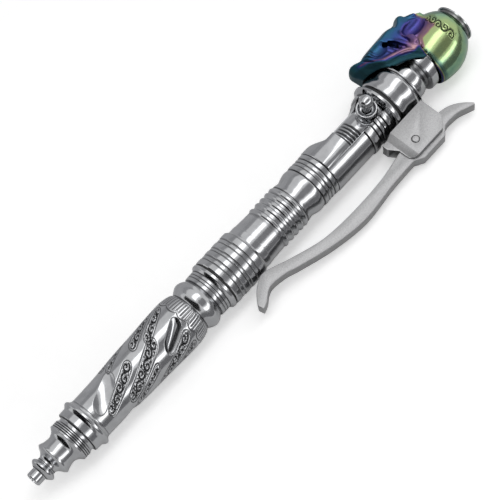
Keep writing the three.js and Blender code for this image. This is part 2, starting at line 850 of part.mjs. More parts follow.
// A plain skull, open below round the collar and the neck
function skull() {
  const top = skullTop;
  const chin = collarEnd - jawDrop;
  const eye = top - 7.2;
  const brow = ellipsoid(top - 8.7, browReach - 5.5, 0, 8.0, 5.5, skullHalfWidth - 0.8);
  const cheeks = [-1, 1].map((side) => ellipsoid(top - 13.6, 2.6, side * 4.9, 4.6, 3.4, 1.9, 12, 8));
  const eyes = [-1, 1].map((side) => ellipsoid(eye, 5.9, side * (skullHalfWidth - 0.2), 3.2, 2.2, 2.2, 12, 6));
  const nose = ellipsoid(top - 10.6, bridgeReach - 0.1, 0, 1.2, 1.4, 1.0, 8, 6);
  const recess = turned([
    [chin - 2, 0],
    [chin - 2, collarRadius + seatGap],
    [collarEnd + 0.6, collarRadius + seatGap],
    [collarEnd + 1.4, neckRadius + seatGap],
    [neckEnd, neckRadius + seatGap],
    [neckEnd, 0],
  ], 24);
  const hole = rod(finialStudRadius + fitGap, neckEnd - 1, top + 2);
  return cut(join(cranium(), brow, ...cheeks, jawAndFace(chin)), ...eyes, nose, recess, hole);
}

function finialWasher() {
  const disc = rod(washerRadius, skullTop, washerTop, 24).translate(0, buttonOffset, 0);
  return cut(disc, rod(finialStudRadius + fitGap, skullTop - 1, washerTop + 1));
}

function finialButton() {
  const button = turned([
    [washerTop, 0],
    [washerTop, buttonRadius],
    [washerTop + 0.35, buttonRadius],
    ...bow([washerTop + 0.45, buttonRadius - 0.15], [penLength, 0], 0.25, 4).slice(0, -1),
    [penLength, 0],
  ], 24);
  return closed(button.translate(0, buttonOffset, 0));
}

function finialStud() {
  return rod(finialStudRadius, neckEnd - finialStudDepth + seatGap, washerTop);
}

// Assembly

const steel = { color: 0xb9bcc0, roughness: 0.2, metalness: 1 };
const satin = { color: 0xb5b5b5, roughness: 0.45, metalness: 1 };
const black = { color: 0x151515, roughness: 0.6, metalness: 0 };
const springSteel = { color: 0x9a9a9a, roughness: 0.35, metalness: 1 };
const brass = { color: 0xb58d42, roughness: 0.35, metalness: 1 };
const plastic = { color: 0x2c2f36, roughness: 0.5, metalness: 0 };
const heatColoured = { color: 0x5f7d8c, roughness: 0.3, metalness: 1 };

const pieces = [
  ['nose_cone', noseCone(), steel],
  ['front_barrel', frontBarrel(), steel],
  ['joint_ring', jointRing(), black],
  ['mid_barrel', midBarrel(), steel],
  ['rear_barrel', rearBarrel(), steel],
  ['seal_ring', sealRing(), black],
  ['collar', collar(), steel],
  ['neck_post', neckPost(), steel],
  ['refill_ball', refillBall(), steel],
  ['refill_tip', refillTip(), brass],
  ['refill_tube', refillTube(), steel],
  ['refill_plug', refillPlug(), plastic],
  ['return_spring', returnSpring(), springSteel],
  ['bolt_body', boltBody(), steel],
  ['bolt_boss', boltBoss(), steel],
  ['bolt_knob', boltKnob(), steel],
  ['clip_housing', clipHousing(), satin],
  ['clip_lever', clipLever(), satin],
  ['clip_pin', clipPin(), steel],
  ['clip_spring', clipSpring(), springSteel],
  ['clip_screw_front', clipScrew(screwPlaces()[0]), springSteel],
  ['clip_screw_back', clipScrew(screwPlaces()[1]), springSteel],
  ['skull', skull(), heatColoured],
  ['finial_washer', finialWasher(), black],
  ['finial_button', finialButton(), steel],
  ['finial_stud', finialStud(), springSteel],
];

// The roll that lays the pen on its flange and on one corner of the clip
function restingRoll(outward, halfWidth) {
  return Math.asin(flangeRadius / Math.hypot(outward, halfWidth)) - Math.atan2(halfWidth, outward);
}

const roll = Math.min(
  restingRoll(pinC + housingTop, housingWidth / 2),
  restingRoll(pinC + 4.2, leverThickness / 2),
);

const pen = new THREE.Group();
for (const [name, geometry, finish] of pieces) {
  const mesh = new THREE.Mesh(geometry, new THREE.MeshStandardMaterial(finish));
  mesh.name = name;
  pen.add(mesh);
}
pen.rotation.x = roll;
pen.updateMatrixWorld(true);

// The origin is on the surface that the pen lies on, under the middle of its box
const bounds = new THREE.Box3().setFromObject(pen, true);
const middle = bounds.getCenter(new THREE.Vector3());
pen.position.set(-middle.x, -middle.y, -bounds.min.z);

const group = new THREE.Group();
group.add(pen);

export default group;
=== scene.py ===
# %% [markdown]
# # A bolt action pen in polished steel
# The pen is 139.5 mm long: a turned nose, a spiral engraved grip, a ringed barrel with a bolt in a
# window, a sprung clip and a heat-coloured skull as the finial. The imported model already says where
# every piece goes, so each step here takes its place from the frame and gives the piece its real surface.

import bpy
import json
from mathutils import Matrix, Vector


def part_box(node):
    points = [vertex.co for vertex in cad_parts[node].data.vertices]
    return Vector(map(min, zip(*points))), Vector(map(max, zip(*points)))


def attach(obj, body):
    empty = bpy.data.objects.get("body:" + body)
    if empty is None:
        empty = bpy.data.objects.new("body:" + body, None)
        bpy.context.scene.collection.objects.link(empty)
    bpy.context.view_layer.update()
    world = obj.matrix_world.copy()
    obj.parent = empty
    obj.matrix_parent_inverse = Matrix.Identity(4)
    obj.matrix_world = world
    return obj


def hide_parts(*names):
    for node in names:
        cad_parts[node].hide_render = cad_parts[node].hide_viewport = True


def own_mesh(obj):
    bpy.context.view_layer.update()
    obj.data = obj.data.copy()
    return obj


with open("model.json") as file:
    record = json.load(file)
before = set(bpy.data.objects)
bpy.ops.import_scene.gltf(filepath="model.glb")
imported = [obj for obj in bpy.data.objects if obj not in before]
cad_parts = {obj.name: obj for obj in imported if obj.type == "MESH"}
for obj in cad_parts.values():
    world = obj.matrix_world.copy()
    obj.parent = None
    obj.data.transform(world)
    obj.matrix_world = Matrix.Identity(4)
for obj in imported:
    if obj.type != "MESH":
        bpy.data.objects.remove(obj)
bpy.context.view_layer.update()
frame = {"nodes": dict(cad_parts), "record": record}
print("the frame has", len(frame["nodes"]), "nodes")

# %% [markdown]
# ## The pen's own axes
# Turned work is drawn along the pen: x runs in millimetres from the writing tip, the clip is on the
# -y side, the bolt's knob on +z and the skull's face on +y. The pen lies on its flange and clip, so it
# is rolled a little. The clip's hinge axis gives that roll, and the bolt's hinge gives the pen's axis.

# %% Axes of the pen, from the joints
import json
import math

import bpy
import numpy as np
from mathutils import Matrix, Vector

MM = 0.001
joints = {joint["name"]: joint for joint in frame["record"]["behaviour"]["joints"]}
pivot_axis = Vector(joints["clip_pivot"]["axis"])
roll = math.atan2(-pivot_axis.y, pivot_axis.z)
tip_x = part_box("nose_cone")[0].x
axis_y, axis_z = joints["bolt_turn"]["pos_m"][1:]
lay_down = Matrix.Translation((tip_x, axis_y, axis_z)) @ Matrix.Rotation(roll, 4, "X") @ Matrix.Scale(MM, 4)
pick_up = lay_down.inverted()
print("roll", round(math.degrees(roll), 2), "degrees")


def span(node):
    """Where a node starts and ends along the pen, in millimetres from the tip."""
    low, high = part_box(node)
    return (low.x - tip_x) / MM, (high.x - tip_x) / MM


grip_start, grip_end = span("front_barrel")
mid_start, mid_end = span("joint_ring")[1], span("mid_barrel")[1]
rear_end = span("rear_barrel")[1]
collar_start, collar_end = span("seal_ring")[1], span("collar")[1]
neck_end = span("neck_post")[1]
skull_top = span("skull")[1]
pen_length = span("finial_button")[1]
knob_x = (span("bolt_knob")[0] + span("bolt_knob")[1]) / 2
pin_place = pick_up @ Vector(joints["clip_pivot"]["pos_m"])
pin_x, pin_out = pin_place.x, -pin_place.y
print("pen length", round(pen_length, 2), "knob at", round(knob_x, 2), "pin at", round(pin_x, 2))

# %% [markdown]
# ## Camera
# The photograph looks down on the pen with its tip at the lower left and its tail at the upper right,
# through a long lens. The camera leans back along the pen and turns from the clip towards the knob.

# %% Camera
LENS = 144.0
SENSOR = 36.0
TILT = math.radians(14.5)
RISE = math.radians(46.97)
CLIP_TURN = math.radians(20)
CAMERA_DISTANCE = 430 * MM
AIM_ALONG = 67.6
AIM_ACROSS = 0.32 * MM

pen_along = Vector((1, 0, 0))
pen_clip = Vector((0, -math.cos(roll), -math.sin(roll)))
pen_knob = Vector((0, -math.sin(roll), math.cos(roll)))
across = math.cos(CLIP_TURN) * pen_clip - math.sin(CLIP_TURN) * pen_knob
facing = math.sin(CLIP_TURN) * pen_clip + math.cos(CLIP_TURN) * pen_knob
sight_along = math.cos(TILT) * pen_along + math.sin(TILT) * facing
camera_back = -math.sin(TILT) * pen_along + math.cos(TILT) * facing
camera_right = math.cos(RISE) * sight_along + math.sin(RISE) * across
camera_up = math.sin(RISE) * sight_along - math.cos(RISE) * across
aim = lay_down @ Vector((AIM_ALONG, 0, 0)) + across * AIM_ACROSS

camera_data = bpy.data.cameras.new("camera")
camera_data.lens = LENS
camera_data.sensor_width = SENSOR
camera_data.clip_start = 0.01
camera = bpy.data.objects.new("camera", camera_data)
bpy.context.collection.objects.link(camera)
camera_turn = Matrix((camera_right, camera_up, camera_back)).transposed().to_4x4()
camera.matrix_world = Matrix.Translation(aim + camera_back * CAMERA_DISTANCE) @ camera_turn
bpy.context.scene.camera = camera
bpy.context.scene.view_settings.view_transform = "Standard"
print("camera at", [round(value, 3) for value in camera.matrix_world.translation])

# %% [markdown]
# ## Small helpers for modelling
# Every operator in Blender acts on what is selected, and loading the frame leaves its nodes selected,
# so each piece starts by deselecting everything. A piece is drawn in millimetres on the pen's own axes
# and is laid into the frame at the end, with its place in its mesh.

# %% Selecting, modifiers and softened edges


def deselect():
    """Leaves edit mode and selects nothing."""
    if bpy.context.object and bpy.context.object.mode != "OBJECT":
        bpy.ops.object.mode_set(mode="OBJECT")
    bpy.ops.object.select_all(action="DESELECT")


def only(piece):
    """Makes one object the selected and active one."""
    deselect()
    piece.select_set(True)
    bpy.context.view_layer.objects.active = piece


def add_modifier(piece, kind, **settings):
    """Adds a modifier with its settings and applies it."""
    only(piece)
    modifier = piece.modifiers.new(kind.lower(), kind)
    for name, value in settings.items():
        setattr(modifier, name, value)
    bpy.ops.object.modifier_apply(modifier=modifier.name)


def ease_edges(piece, width, sharpest=28, segments=2):
    """Bevels every edge that turns by more than so many degrees."""
    add_modifier(piece, "BEVEL", width=width, segments=segments, angle_limit=math.radians(sharpest),
                 limit_method="ANGLE", use_clamp_overlap=True)


deselect()
print(len(bpy.context.selected_objects), "objects are selected now")

# %% [markdown]
# ## Points and attributes
# Engraving is too fine for cutters, so it is done on the points of a mesh. They are read as one array,
# moved and written back, and a number that a material needs is stored on them as an attribute.

# %% Points and attributes


def get_points(piece, what="co"):
    """The place of each vertex of a piece, or its normal, as an array of rows."""
    values = np.empty(len(piece.data.vertices) * 3)
    piece.data.vertices.foreach_get(what, values)
    return values.reshape(-1, 3)


def set_points(piece, points):
    """Writes vertex places back."""
    piece.data.vertices.foreach_set("co", points.ravel())
    piece.data.update()


def set_attribute(piece, name, values):
    """Stores one number on each vertex for a material to read."""
    layer = piece.data.attributes.new(name, "FLOAT", "POINT")
    layer.data.foreach_set("value", np.asarray(values, dtype=np.float32))


print("the packed nose cone has", len(get_points(frame["nodes"]["nose_cone"])), "points")

# %% [markdown]
# ## Drawing a section
# Most of the pen is bar stock turned between centres. A turner thinks in shoulders, beads, coves and
# grooves, so a section is a list of [place along the pen, radius] points that these three add to.

# %% Curves, beads and grooves


def curve(points, steps=4):
    """A smooth curve through the given points, in the plane of a section or in space."""
    ends = [points[0]] + list(points) + [points[-1]]
    out = []
    for before, start, end, after in zip(ends, ends[1:], ends[2:], ends[3:]):
        for step in range(steps):
            t = step / steps
            out.append(tuple(
                0.5 * (2 * b + (c - a) * t + (2 * a - 5 * b + 4 * c - d) * t * t
                       + (3 * b - a - 3 * c + d) * t ** 3)
                for a, b, c, d in zip(before, start, end, after)
            ))
    return out + [tuple(points[-1])]


def bead(start, end, radius, rise, steps=8):
    """A round bead that rises over a radius between two places along the pen."""
    return [
        (start + (end - start) * i / steps, radius + rise * math.sin(math.pi * i / steps))
        for i in range(steps + 1)
    ]


def grooved(places, crest, groove, width):
    """A plain band with V grooves cut at the given places."""
    out = []
    for place in places:
        out += [(place - width / 2, crest), (place, groove), (place + width / 2, crest)]
    return out


print("a bead of", len(bead(0, 1, 5, 0.5)), "points rises to", bead(0, 1, 5, 0.5)[4][1], "mm")

# %% [markdown]
# ## Turning on a lathe
# The section is drawn as a chain of points, each one extruded from the last, and the chain is spun about
# the pen's axis. Shoulders are left sharp in the chain and then bevelled by a few hundredths, as the
# polishing wheel leaves them, so that every edge catches a thin line of light.

# %% Spinning a section
LATHE_SIDES = 96
JOIN_WITHIN = 0.0005


def draw_chain(points, name):
    """A chain of vertices in the x-z plane: one point, extruded again and again."""
    deselect()
    bpy.ops.mesh.primitive_circle_add(vertices=3, radius=0.01, location=(points[0][0], 0, points[0][1]))
    piece = bpy.context.object
    piece.name = piece.data.name = name
    only(piece)
    bpy.ops.object.transform_apply(location=True, rotation=True, scale=True)
    bpy.ops.object.mode_set(mode="EDIT")
    bpy.ops.mesh.select_all(action="SELECT")
    bpy.ops.mesh.merge(type="CENTER")
    for last, point in zip(points, points[1:]):
        move = (point[0] - last[0], 0, point[1] - last[1])
        bpy.ops.mesh.extrude_region_move(TRANSFORM_OT_translate={"value": move})
    return piece


def lathe(points, name, closed=True, sides=LATHE_SIDES, edge=0.05):
    """Spins a section about the x axis, closes its seam, faces it outwards and eases its edges."""
    ring = list(points) + ([points[0]] if closed else [])
    piece = draw_chain(ring, name)
    bpy.ops.mesh.select_all(action="SELECT")
    bpy.ops.mesh.spin(steps=sides, angle=2 * math.pi, center=(0, 0, 0), axis=(1, 0, 0), use_auto_merge=True)
    bpy.ops.mesh.select_all(action="SELECT")
    bpy.ops.mesh.remove_doubles(threshold=JOIN_WITHIN)
    bpy.ops.mesh.select_all(action="SELECT")
    bpy.ops.mesh.normals_make_consistent(inside=False)
    bpy.ops.object.mode_set(mode="OBJECT")
    if edge:
        ease_edges(piece, edge)
    return piece


print("on a barrel of 6 mm radius each flat is", round(2 * math.pi * 6 / LATHE_SIDES, 2), "mm wide")

# %% [markdown]
# ## Finishing a piece
# A finished piece gets its material and smooth shading, with an edge kept sharp where it turns by more
# than an angle. Then it is laid into the frame, told which body it rides on, and put in the place of the
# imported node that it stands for.

# %% Finishing a piece


def finish_piece(piece, material, body, node, smooth=32):
    """Gives a piece its finish, lays it into the frame and hides the node it stands for."""
    piece.data.materials.clear()
    piece.data.materials.append(material)
    only(piece)
    bpy.ops.object.shade_smooth_by_angle(angle=math.radians(smooth))
    piece.data.transform(lay_down)
    piece.data.update()
    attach(piece, body)
    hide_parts(node)
    print(piece.name, len(piece.data.polygons), "faces")


# %% [markdown]
# ## Colours
# Colours are written as they look on screen and turned to the linear values that a renderer uses.

# %% Colours and their ramps


def colour(code):
    """A colour such as b4b5b8, as linear red, green, blue and alpha."""
    parts = [int(code[i:i + 2], 16) / 255 for i in (0, 2, 4)]
    return tuple(p / 12.92 if p <= 0.04045 else ((p + 0.055) / 1.055) ** 2.4 for p in parts) + (1,)


def set_stops(ramp, stops):
    """Fills a colour ramp with (position, colour code) stops."""
    ramp.elements[0].position = stops[0][0]
    ramp.elements[1].position = stops[-1][0]
    for position, _ in stops[1:-1]:
        ramp.elements.new(position)
    for element, (_, code) in zip(ramp.elements, stops):
        element.color = colour(code)


print("a mid grey is", round(colour("808080")[0], 3), "in linear values")

# %% [markdown]
# ## Shader nodes
# One function adds a node with its settings and its links, and each material is built out of those. A
# pattern's scale always comes from a real size in millimetres, read from the object's own coordinates.

# %% Nodes and materials


def add_node(tree, kind, settings=None, links=None):
    """Adds a node, sets its options, input values or stops, and joins its inputs to other outputs."""
    node = tree.nodes.new(kind)
    for name, value in (settings or {}).items():
        if name == "stops":
            set_stops(node.color_ramp, value)
        elif isinstance(name, int) or name in node.inputs:
            node.inputs[name].default_value = value
        else:
            setattr(node, name, value)
    for name, source in (links or {}).items():
        tree.links.new(source, node.inputs[name])
    return node


def new_material(name):
    """A material with only a principled shader, its output, and each point's place on the object."""
    material = bpy.data.materials.new(name)
    material.use_nodes = True
    tree = material.node_tree
    tree.nodes.clear()
    shader = add_node(tree, "ShaderNodeBsdfPrincipled")
    add_node(tree, "ShaderNodeOutputMaterial", links={"Surface": shader.outputs["BSDF"]})
    place = add_node(tree, "ShaderNodeTexCoord").outputs["Object"]
    return material, tree, shader, place


def lumps(size_mm, detail=3.0):
    """Noise settings for lumps that are about so many millimetres across."""
    return {"Scale": 1 / (size_mm * MM), "Detail": detail, "Roughness": 0.55}


print("lumps of 3 mm need a noise scale of", round(lumps(3.0)["Scale"]))

# %% [markdown]
# ## Polished stainless steel
# The body is stainless steel, turned and then polished on a wheel, so it mirrors the room: almost all
# its look is reflection. A faint drift in tone and roughness stands for wiping marks, and a wave of a
# few hundredths of a millimetre bends the reflections, as hand polishing does. Engraved places hold
# black oxide, which the jeweller leaves in when the high places are polished again. The same black is
# used as painted shade in the turned lines and on the low side of the deep scoop. The meshes say where
# all of that is with an attribute named recess.

# %% Polished steel with oxidised engraving and painted shade in its lines
WIPE_MM = 3.0
WAVE_MM = 4.0
WAVE_HEIGHT_MM = 0.06
OXIDE_AND_SHADE_GRAIN_MM = 0.25
OXIDE_AND_SHADE_ROUGHNESS = 0.42


def make_polished_steel():
    """Mirror polish that turns to matt black where the recess attribute is high."""
    material, tree, shader, place = new_material("polished_stainless_steel")
    shader.inputs["Metallic"].default_value = 1.0
    wiped = add_node(tree, "ShaderNodeTexNoise", lumps(WIPE_MM), {"Vector": place}).outputs["Fac"]
    grain = add_node(tree, "ShaderNodeTexNoise", lumps(OXIDE_AND_SHADE_GRAIN_MM, 4), {"Vector": place}).outputs["Fac"]
    wave = add_node(tree, "ShaderNodeTexNoise", lumps(WAVE_MM, 1), {"Vector": place}).outputs["Fac"]
    recess = add_node(tree, "ShaderNodeAttribute", {"attribute_name": "recess"}).outputs["Fac"]
    bright = add_node(tree, "ShaderNodeValToRGB", {"stops": [(0.3, "abacae"), (0.7, "babbbd")]},
                      {"Fac": wiped})
    # This black stands for the engraving's oxide and for painted shade in turned lines and the deep scoop.
    oxide = add_node(tree, "ShaderNodeValToRGB", {"stops": [(0.35, "0d0d0e"), (0.7, "39393b")]},
                     {"Fac": grain})
    tone = add_node(tree, "ShaderNodeMix", {"data_type": "RGBA"},
                    {0: recess, 6: bright.outputs["Color"], 7: oxide.outputs["Color"]})
    gloss = add_node(tree, "ShaderNodeMapRange", {"To Min": 0.12, "To Max": 0.19}, {"Value": wiped})
    rough = add_node(tree, "ShaderNodeMix", {3: OXIDE_AND_SHADE_ROUGHNESS}, {0: recess, 2: gloss.outputs["Result"]})
    waves = add_node(tree, "ShaderNodeBump", {"Strength": 1.0, "Distance": WAVE_HEIGHT_MM * MM},
                     {"Height": wave})
    tree.links.new(tone.outputs[2], shader.inputs["Base Color"])
    tree.links.new(rough.outputs[0], shader.inputs["Roughness"])
    tree.links.new(waves.outputs["Normal"], shader.inputs["Normal"])
    return material


polished_steel = make_polished_steel()
print("made", polished_steel.name)

# %% [markdown]
# ## Satin steel, springs, rubber, brass and plastic
# The clip is bead blasted: tiny even dents that blur every reflection to a soft grey. Spring wire and
# the refill are plain drawn steel, a little dull. The two thin rings are black rubber, and the refill
# has a turned brass tip and a moulded plug. All of them take tone, gloss and dents from one noise.

# %% The plainer finishes


def make_finish(name, dark, light, size_mm, rough, metallic=1.0, dent_mm=0.004):
    """A finish whose tone, roughness and small dents all come from one noise of a real size."""
    material, tree, shader, place = new_material(name)
    shader.inputs["Metallic"].default_value = metallic
    grain = add_node(tree, "ShaderNodeTexNoise", lumps(size_mm, 5), {"Vector": place}).outputs["Fac"]
    tone = add_node(tree, "ShaderNodeValToRGB", {"stops": [(0.3, dark), (0.7, light)]}, {"Fac": grain})
    gloss = add_node(tree, "ShaderNodeMapRange", {"To Min": rough[0], "To Max": rough[1]}, {"Value": grain})
    dents = add_node(tree, "ShaderNodeBump", {"Strength": 1.0, "Distance": dent_mm * MM}, {"Height": grain})
    tree.links.new(tone.outputs["Color"], shader.inputs["Base Color"])
    tree.links.new(gloss.outputs["Result"], shader.inputs["Roughness"])
    tree.links.new(dents.outputs["Normal"], shader.inputs["Normal"])
    print("made", name)
    return material


bead_blasted_steel = make_finish("bead_blasted_stainless_steel", "8f8f90", "acacad", 0.22, (0.4, 0.52),
                                 dent_mm=0.012)
drawn_steel = make_finish("drawn_spring_steel", "7c7c7c", "a2a2a2", 0.4, (0.25, 0.4))
black_rubber = make_finish("black_nitrile_rubber", "0b0b0b", "1d1d1d", 0.3, (0.45, 0.65), metallic=0.0,
                           dent_mm=0.01)
turned_brass = make_finish("turned_brass", "a57c34", "c79c50", 0.3, (0.2, 0.32))
moulded_plastic = make_finish("moulded_polypropylene", "23262c", "343840", 0.4, (0.4, 0.5), metallic=0.0)

# %% [markdown]
# ## Floor, light and the room that the steel mirrors
# A polished pen is lit with long soft boxes, and the maker of the picture hides dark cards beside it:
# without them the steel mirrors a white room and turns to paper. The boxes and cards run along the
# pen, each at its own angle round the axis, so that each draws one straight band on the barrel.

# %% Floor and world
FLOOR_SIZE = 4.0
FLOOR_LIFT = 0.4
ROOM_LIGHT = 0.45
WHITE = (1, 1, 1, 1)


def make_floor():
    """A sheet of pale paper that glows a little for the camera, so that it comes out white."""
    deselect()
    bpy.ops.mesh.primitive_plane_add(size=FLOOR_SIZE, location=(0, 0, 0))
    floor = bpy.context.object
    floor.name = floor.data.name = "floor"
    material, tree, shader, place = new_material("pale_paper")
    fibre = add_node(tree, "ShaderNodeTexNoise", lumps(6.0), {"Vector": place}).outputs["Fac"]
    tone = add_node(tree, "ShaderNodeValToRGB", {"stops": [(0.3, "f4f4f4"), (0.7, "f7f7f7")]}, {"Fac": fibre})
    seen = add_node(tree, "ShaderNodeLightPath").outputs["Is Camera Ray"]
    lift = add_node(tree, "ShaderNodeMapRange", {"To Min": 0.0, "To Max": FLOOR_LIFT}, {"Value": seen})
    shader.inputs["Roughness"].default_value = 0.9
    shader.inputs["Specular IOR Level"].default_value = 0.0
    shader.inputs["Emission Color"].default_value = WHITE
    tree.links.new(tone.outputs["Color"], shader.inputs["Base Color"])
    tree.links.new(lift.outputs["Result"], shader.inputs["Emission Strength"])
    floor.data.materials.append(material)


def make_room():
    """A white room that is bright to look at and in mirrors, and dimmer as a light."""
    world = bpy.data.worlds.new("white_room")
    world.use_nodes = True
    tree = world.node_tree
    rays = add_node(tree, "ShaderNodeLightPath")
    shown = rays.outputs["Is Camera Ray"]
    for other in ("Is Glossy Ray", "Is Transmission Ray"):
        shown = add_node(tree, "ShaderNodeMath", {"operation": "MAXIMUM"}, {0: shown, 1: rays.outputs[other]})
        shown = shown.outputs[0]
    strength = add_node(tree, "ShaderNodeMapRange", {"To Min": ROOM_LIGHT, "To Max": 1.0}, {"Value": shown})
    tree.nodes["Background"].inputs["Color"].default_value = WHITE
    tree.links.new(strength.outputs["Result"], tree.nodes["Background"].inputs["Strength"])
    bpy.context.scene.world = world


make_floor()
make_room()
print("a floor of", FLOOR_SIZE, "m in a white room")

# %% [markdown]
# ## Soft boxes
# A soft box is an area light, long and flat. It faces the pen from an angle round it: 0 is the clip's
# side, 90 the knob's and 180 the face's.

# %% Making a soft box
BOX_LENGTH_MM = 620
BOX_SHIFT_MM = 90
BOX_DISTANCE_MM = 320


def towards(angle):
    """The direction square to the pen at so many degrees from the clip, over the knob, to the face."""
    angle = math.radians(angle)
    return math.cos(angle) * pen_clip + math.sin(angle) * pen_knob


def facing_pen(angle, distance_mm):
    """A place and a turn that face the pen from that angle, with local x along the pen."""
    out = towards(angle)
    place = lay_down @ Vector((pen_length / 2 + BOX_SHIFT_MM, 0, 0)) + out * distance_mm * MM
    turn = Matrix((pen_along, out.cross(pen_along), out)).transposed().to_4x4()
    return Matrix.Translation(place) @ turn


def soft_box(name, angle, wide_mm, radiance):
    """A long area light that faces the pen from an angle round it."""
    light = bpy.data.lights.new(name, "AREA")
    light.shape = "RECTANGLE"
    light.size = BOX_LENGTH_MM * MM
    light.size_y = wide_mm * MM
    light.energy = radiance * math.pi * light.size * light.size_y
    lamp = bpy.data.objects.new(name, light)
    lamp.matrix_world = facing_pen(angle, BOX_DISTANCE_MM)
    bpy.context.collection.objects.link(lamp)


print("straight up is about", round(math.degrees(math.acos(pen_clip.z))), "degrees from the clip's side")

# %% [markdown]
# ## Cards
# A card glows at its own even tone and shows only in mirrors, so it needs no light of its own. Some face
# the pen like the soft boxes, and some lie on the floor beside it.

# %% Making a card
FLAT_CARD_LENGTH_MM = 700
CARD_LIFT_MM = 0.2


def make_card(name, placed, long_mm, wide_mm, shade):
    """A card that only mirrors can see, one even tone all over."""
    deselect()
    bpy.ops.mesh.primitive_plane_add(size=1.0)
    card = bpy.context.object
    card.name = card.data.name = name
    card.data.transform(placed @ Matrix.Diagonal((long_mm * MM, wide_mm * MM, 1, 1)))
    material, tree, shader, _ = new_material("felt_" + name)
    shader.inputs["Emission Color"].default_value = colour(shade)
    shader.inputs["Emission Strength"].default_value = 1.0
    shader.inputs["Base Color"].default_value = (0, 0, 0, 1)
    shader.inputs["Specular IOR Level"].default_value = 0.0
    card.data.materials.append(material)
    card.visible_camera = card.visible_diffuse = card.visible_shadow = card.visible_transmission = False


def card_round_pen(name, angle, wide_mm, distance_mm, shade):
    """A card that faces the pen from an angle round it."""
    make_card(name, facing_pen(angle, distance_mm), BOX_LENGTH_MM, wide_mm, shade)


def flat_card(name, near_mm, far_mm, shade):
    """A card that lies just over the floor, from one distance across the pen to another."""
    middle_y = axis_y + (near_mm + far_mm) / 2 * MM
    lying = Matrix.Translation((BOX_SHIFT_MM * MM, middle_y, CARD_LIFT_MM * MM))
    make_card(name, lying, FLAT_CARD_LENGTH_MM, abs(far_mm - near_mm), shade)


print("a flat card lies", CARD_LIFT_MM, "mm over the floor")

# %% [markdown]
# ## What the steel mirrors
# A picture of polished metal is a picture of what stands round it. Two soft boxes give the white bands,
# grey cards give the flanks their tone, and dark cards past the tip and round the lens give the thin
# black edges. Their angles and widths come from the bands on the photograph's plain barrel.

# %% Placing the soft boxes and cards
TIP_CARD_AWAY_MM = 150
TIP_CARD_HEIGHT_MM = 120
HOOD_FROM_LENS_MM = 30
soft_box("overhead_box", 97, 112, 1.85)
soft_box("low_box", 31, 79, 2.0)
card_round_pen("card_by_camera", 61, 166, 300, "9d9d9f")
card_round_pen("card_over_face", 152, 130, 330, "b4b4b6")
card_round_pen("card_behind_face", 180, 200, 300, "c4c4c6")
card_round_pen("card_at_horizon", 18, 14, 210, "88888a")
flat_card("floor_card_by_clip", -19, -240, "88888a")
flat_card("floor_card_by_face", 15, 300, "bcbcbe")
past_tip = Matrix.Translation((tip_x - TIP_CARD_AWAY_MM * MM, axis_y, TIP_CARD_HEIGHT_MM * MM))
make_card("dark_card_past_tip", past_tip @ Matrix.Rotation(math.pi / 2, 4, "Y"), 180, 320, "1b1b1c")
hood_place = camera.matrix_world.translation - camera_back * HOOD_FROM_LENS_MM * MM
make_card("black_lens_hood", Matrix.Translation(hood_place) @ camera_turn, 100, 100, "121213")
print("cards and boxes stand round the pen")

# %% [markdown]
# ## Nose cone
# The writing end: a short tube with the ball's hole, a round bead, a cove that climbs to a sharp
# ridge, a waist, three hair lines, a plain band and a last rounded ridge just before the grip. Behind it
# a spigot runs into the grip. Each stretch is one line, bead or curve of the section.

# %% Nose cone
TIP_BORE = 1.25
TIP_RADIUS = 1.73
SPIGOT = 4.2
FIT_GAP = 0.1
REFILL_BORE = 3.2
SPRING_BORE = 2.1
spigot_end = span("nose_cone")[1]


def painted_groove_shade(points, places, half_width, floor=0.0):
    """How dark each point is painted along thin turned lines and steps: painted shade in their grooves."""
    nearest = np.min([np.abs(points[:, 0] - place) for place in places], axis=0)
    outside = np.hypot(points[:, 1], points[:, 2]) > floor
    return np.clip(1.35 - nearest / half_width, 0, 1) * outside


def mark_lines(piece, places, half_width, floor=0.0):
    """Stores the painted shade of a piece's turned lines for the steel to read."""
    set_attribute(piece, "recess", painted_groove_shade(get_points(piece), places, half_width, floor))


nose_lines = [11.1, 11.57, 12.04]
nose_section = (
    [(0.0, 1.3), (0.0, 1.5), (0.25, TIP_RADIUS), (2.0, TIP_RADIUS - 0.02), (2.12, 1.95)]
    + bead(2.3, 3.95, 2.25, 0.76)
    + curve([(4.15, 2.27), (4.6, 2.3), (5.2, 2.75), (5.75, 3.65), (6.15, 4.12)])
    + curve([(6.4, 4.12), (7.3, 3.78), (8.7, 3.58), (9.7, 3.95), (10.35, 4.6), (10.6, 4.92)])
    + grooved(nose_lines, 4.9, 4.72, 0.24)
    + curve([(12.35, 4.86), (12.7, 4.64), (13.1, 4.56), (13.4, 4.7), (13.62, 5.3)])
    + [(13.75, 5.38), (15.2, 5.4)]
    + curve([(15.3, 5.42), (15.7, 5.72), (16.05, 6.04), (16.35, 6.1), (16.6, 6.0), (16.95, 5.6),
             (17.3, 5.32)])
    + [(grip_start, 5.26), (grip_start, SPIGOT), (spigot_end, SPIGOT), (spigot_end, REFILL_BORE)]
    + [(9.6, REFILL_BORE), (9.2, SPRING_BORE), (5.3, SPRING_BORE), (5.3, TIP_BORE)]
)
nose_cone = lathe(nose_section, "nose_cone_turned")
mark_lines(nose_cone, nose_lines + [2.1, 4.15, 13.5, 17.45], 0.11, floor=1.8)
finish_piece(nose_cone, polished_steel, "barrel", "nose_cone")

# %% [markdown]
# ## Engraved grip
# The grip carries three spiral repeats of smooth scoops and engraved panels, twisted round it by five
# degrees in each millimetre. The engraver first cuts the scoops with a ball and polishes them, then
# outlines the panels and lowers their ground with a flat graver, so that scrolls stand in it, and last
# cuts a border of ribbed petals. First come the shapes: a round-ended panel and a row of scrolls.

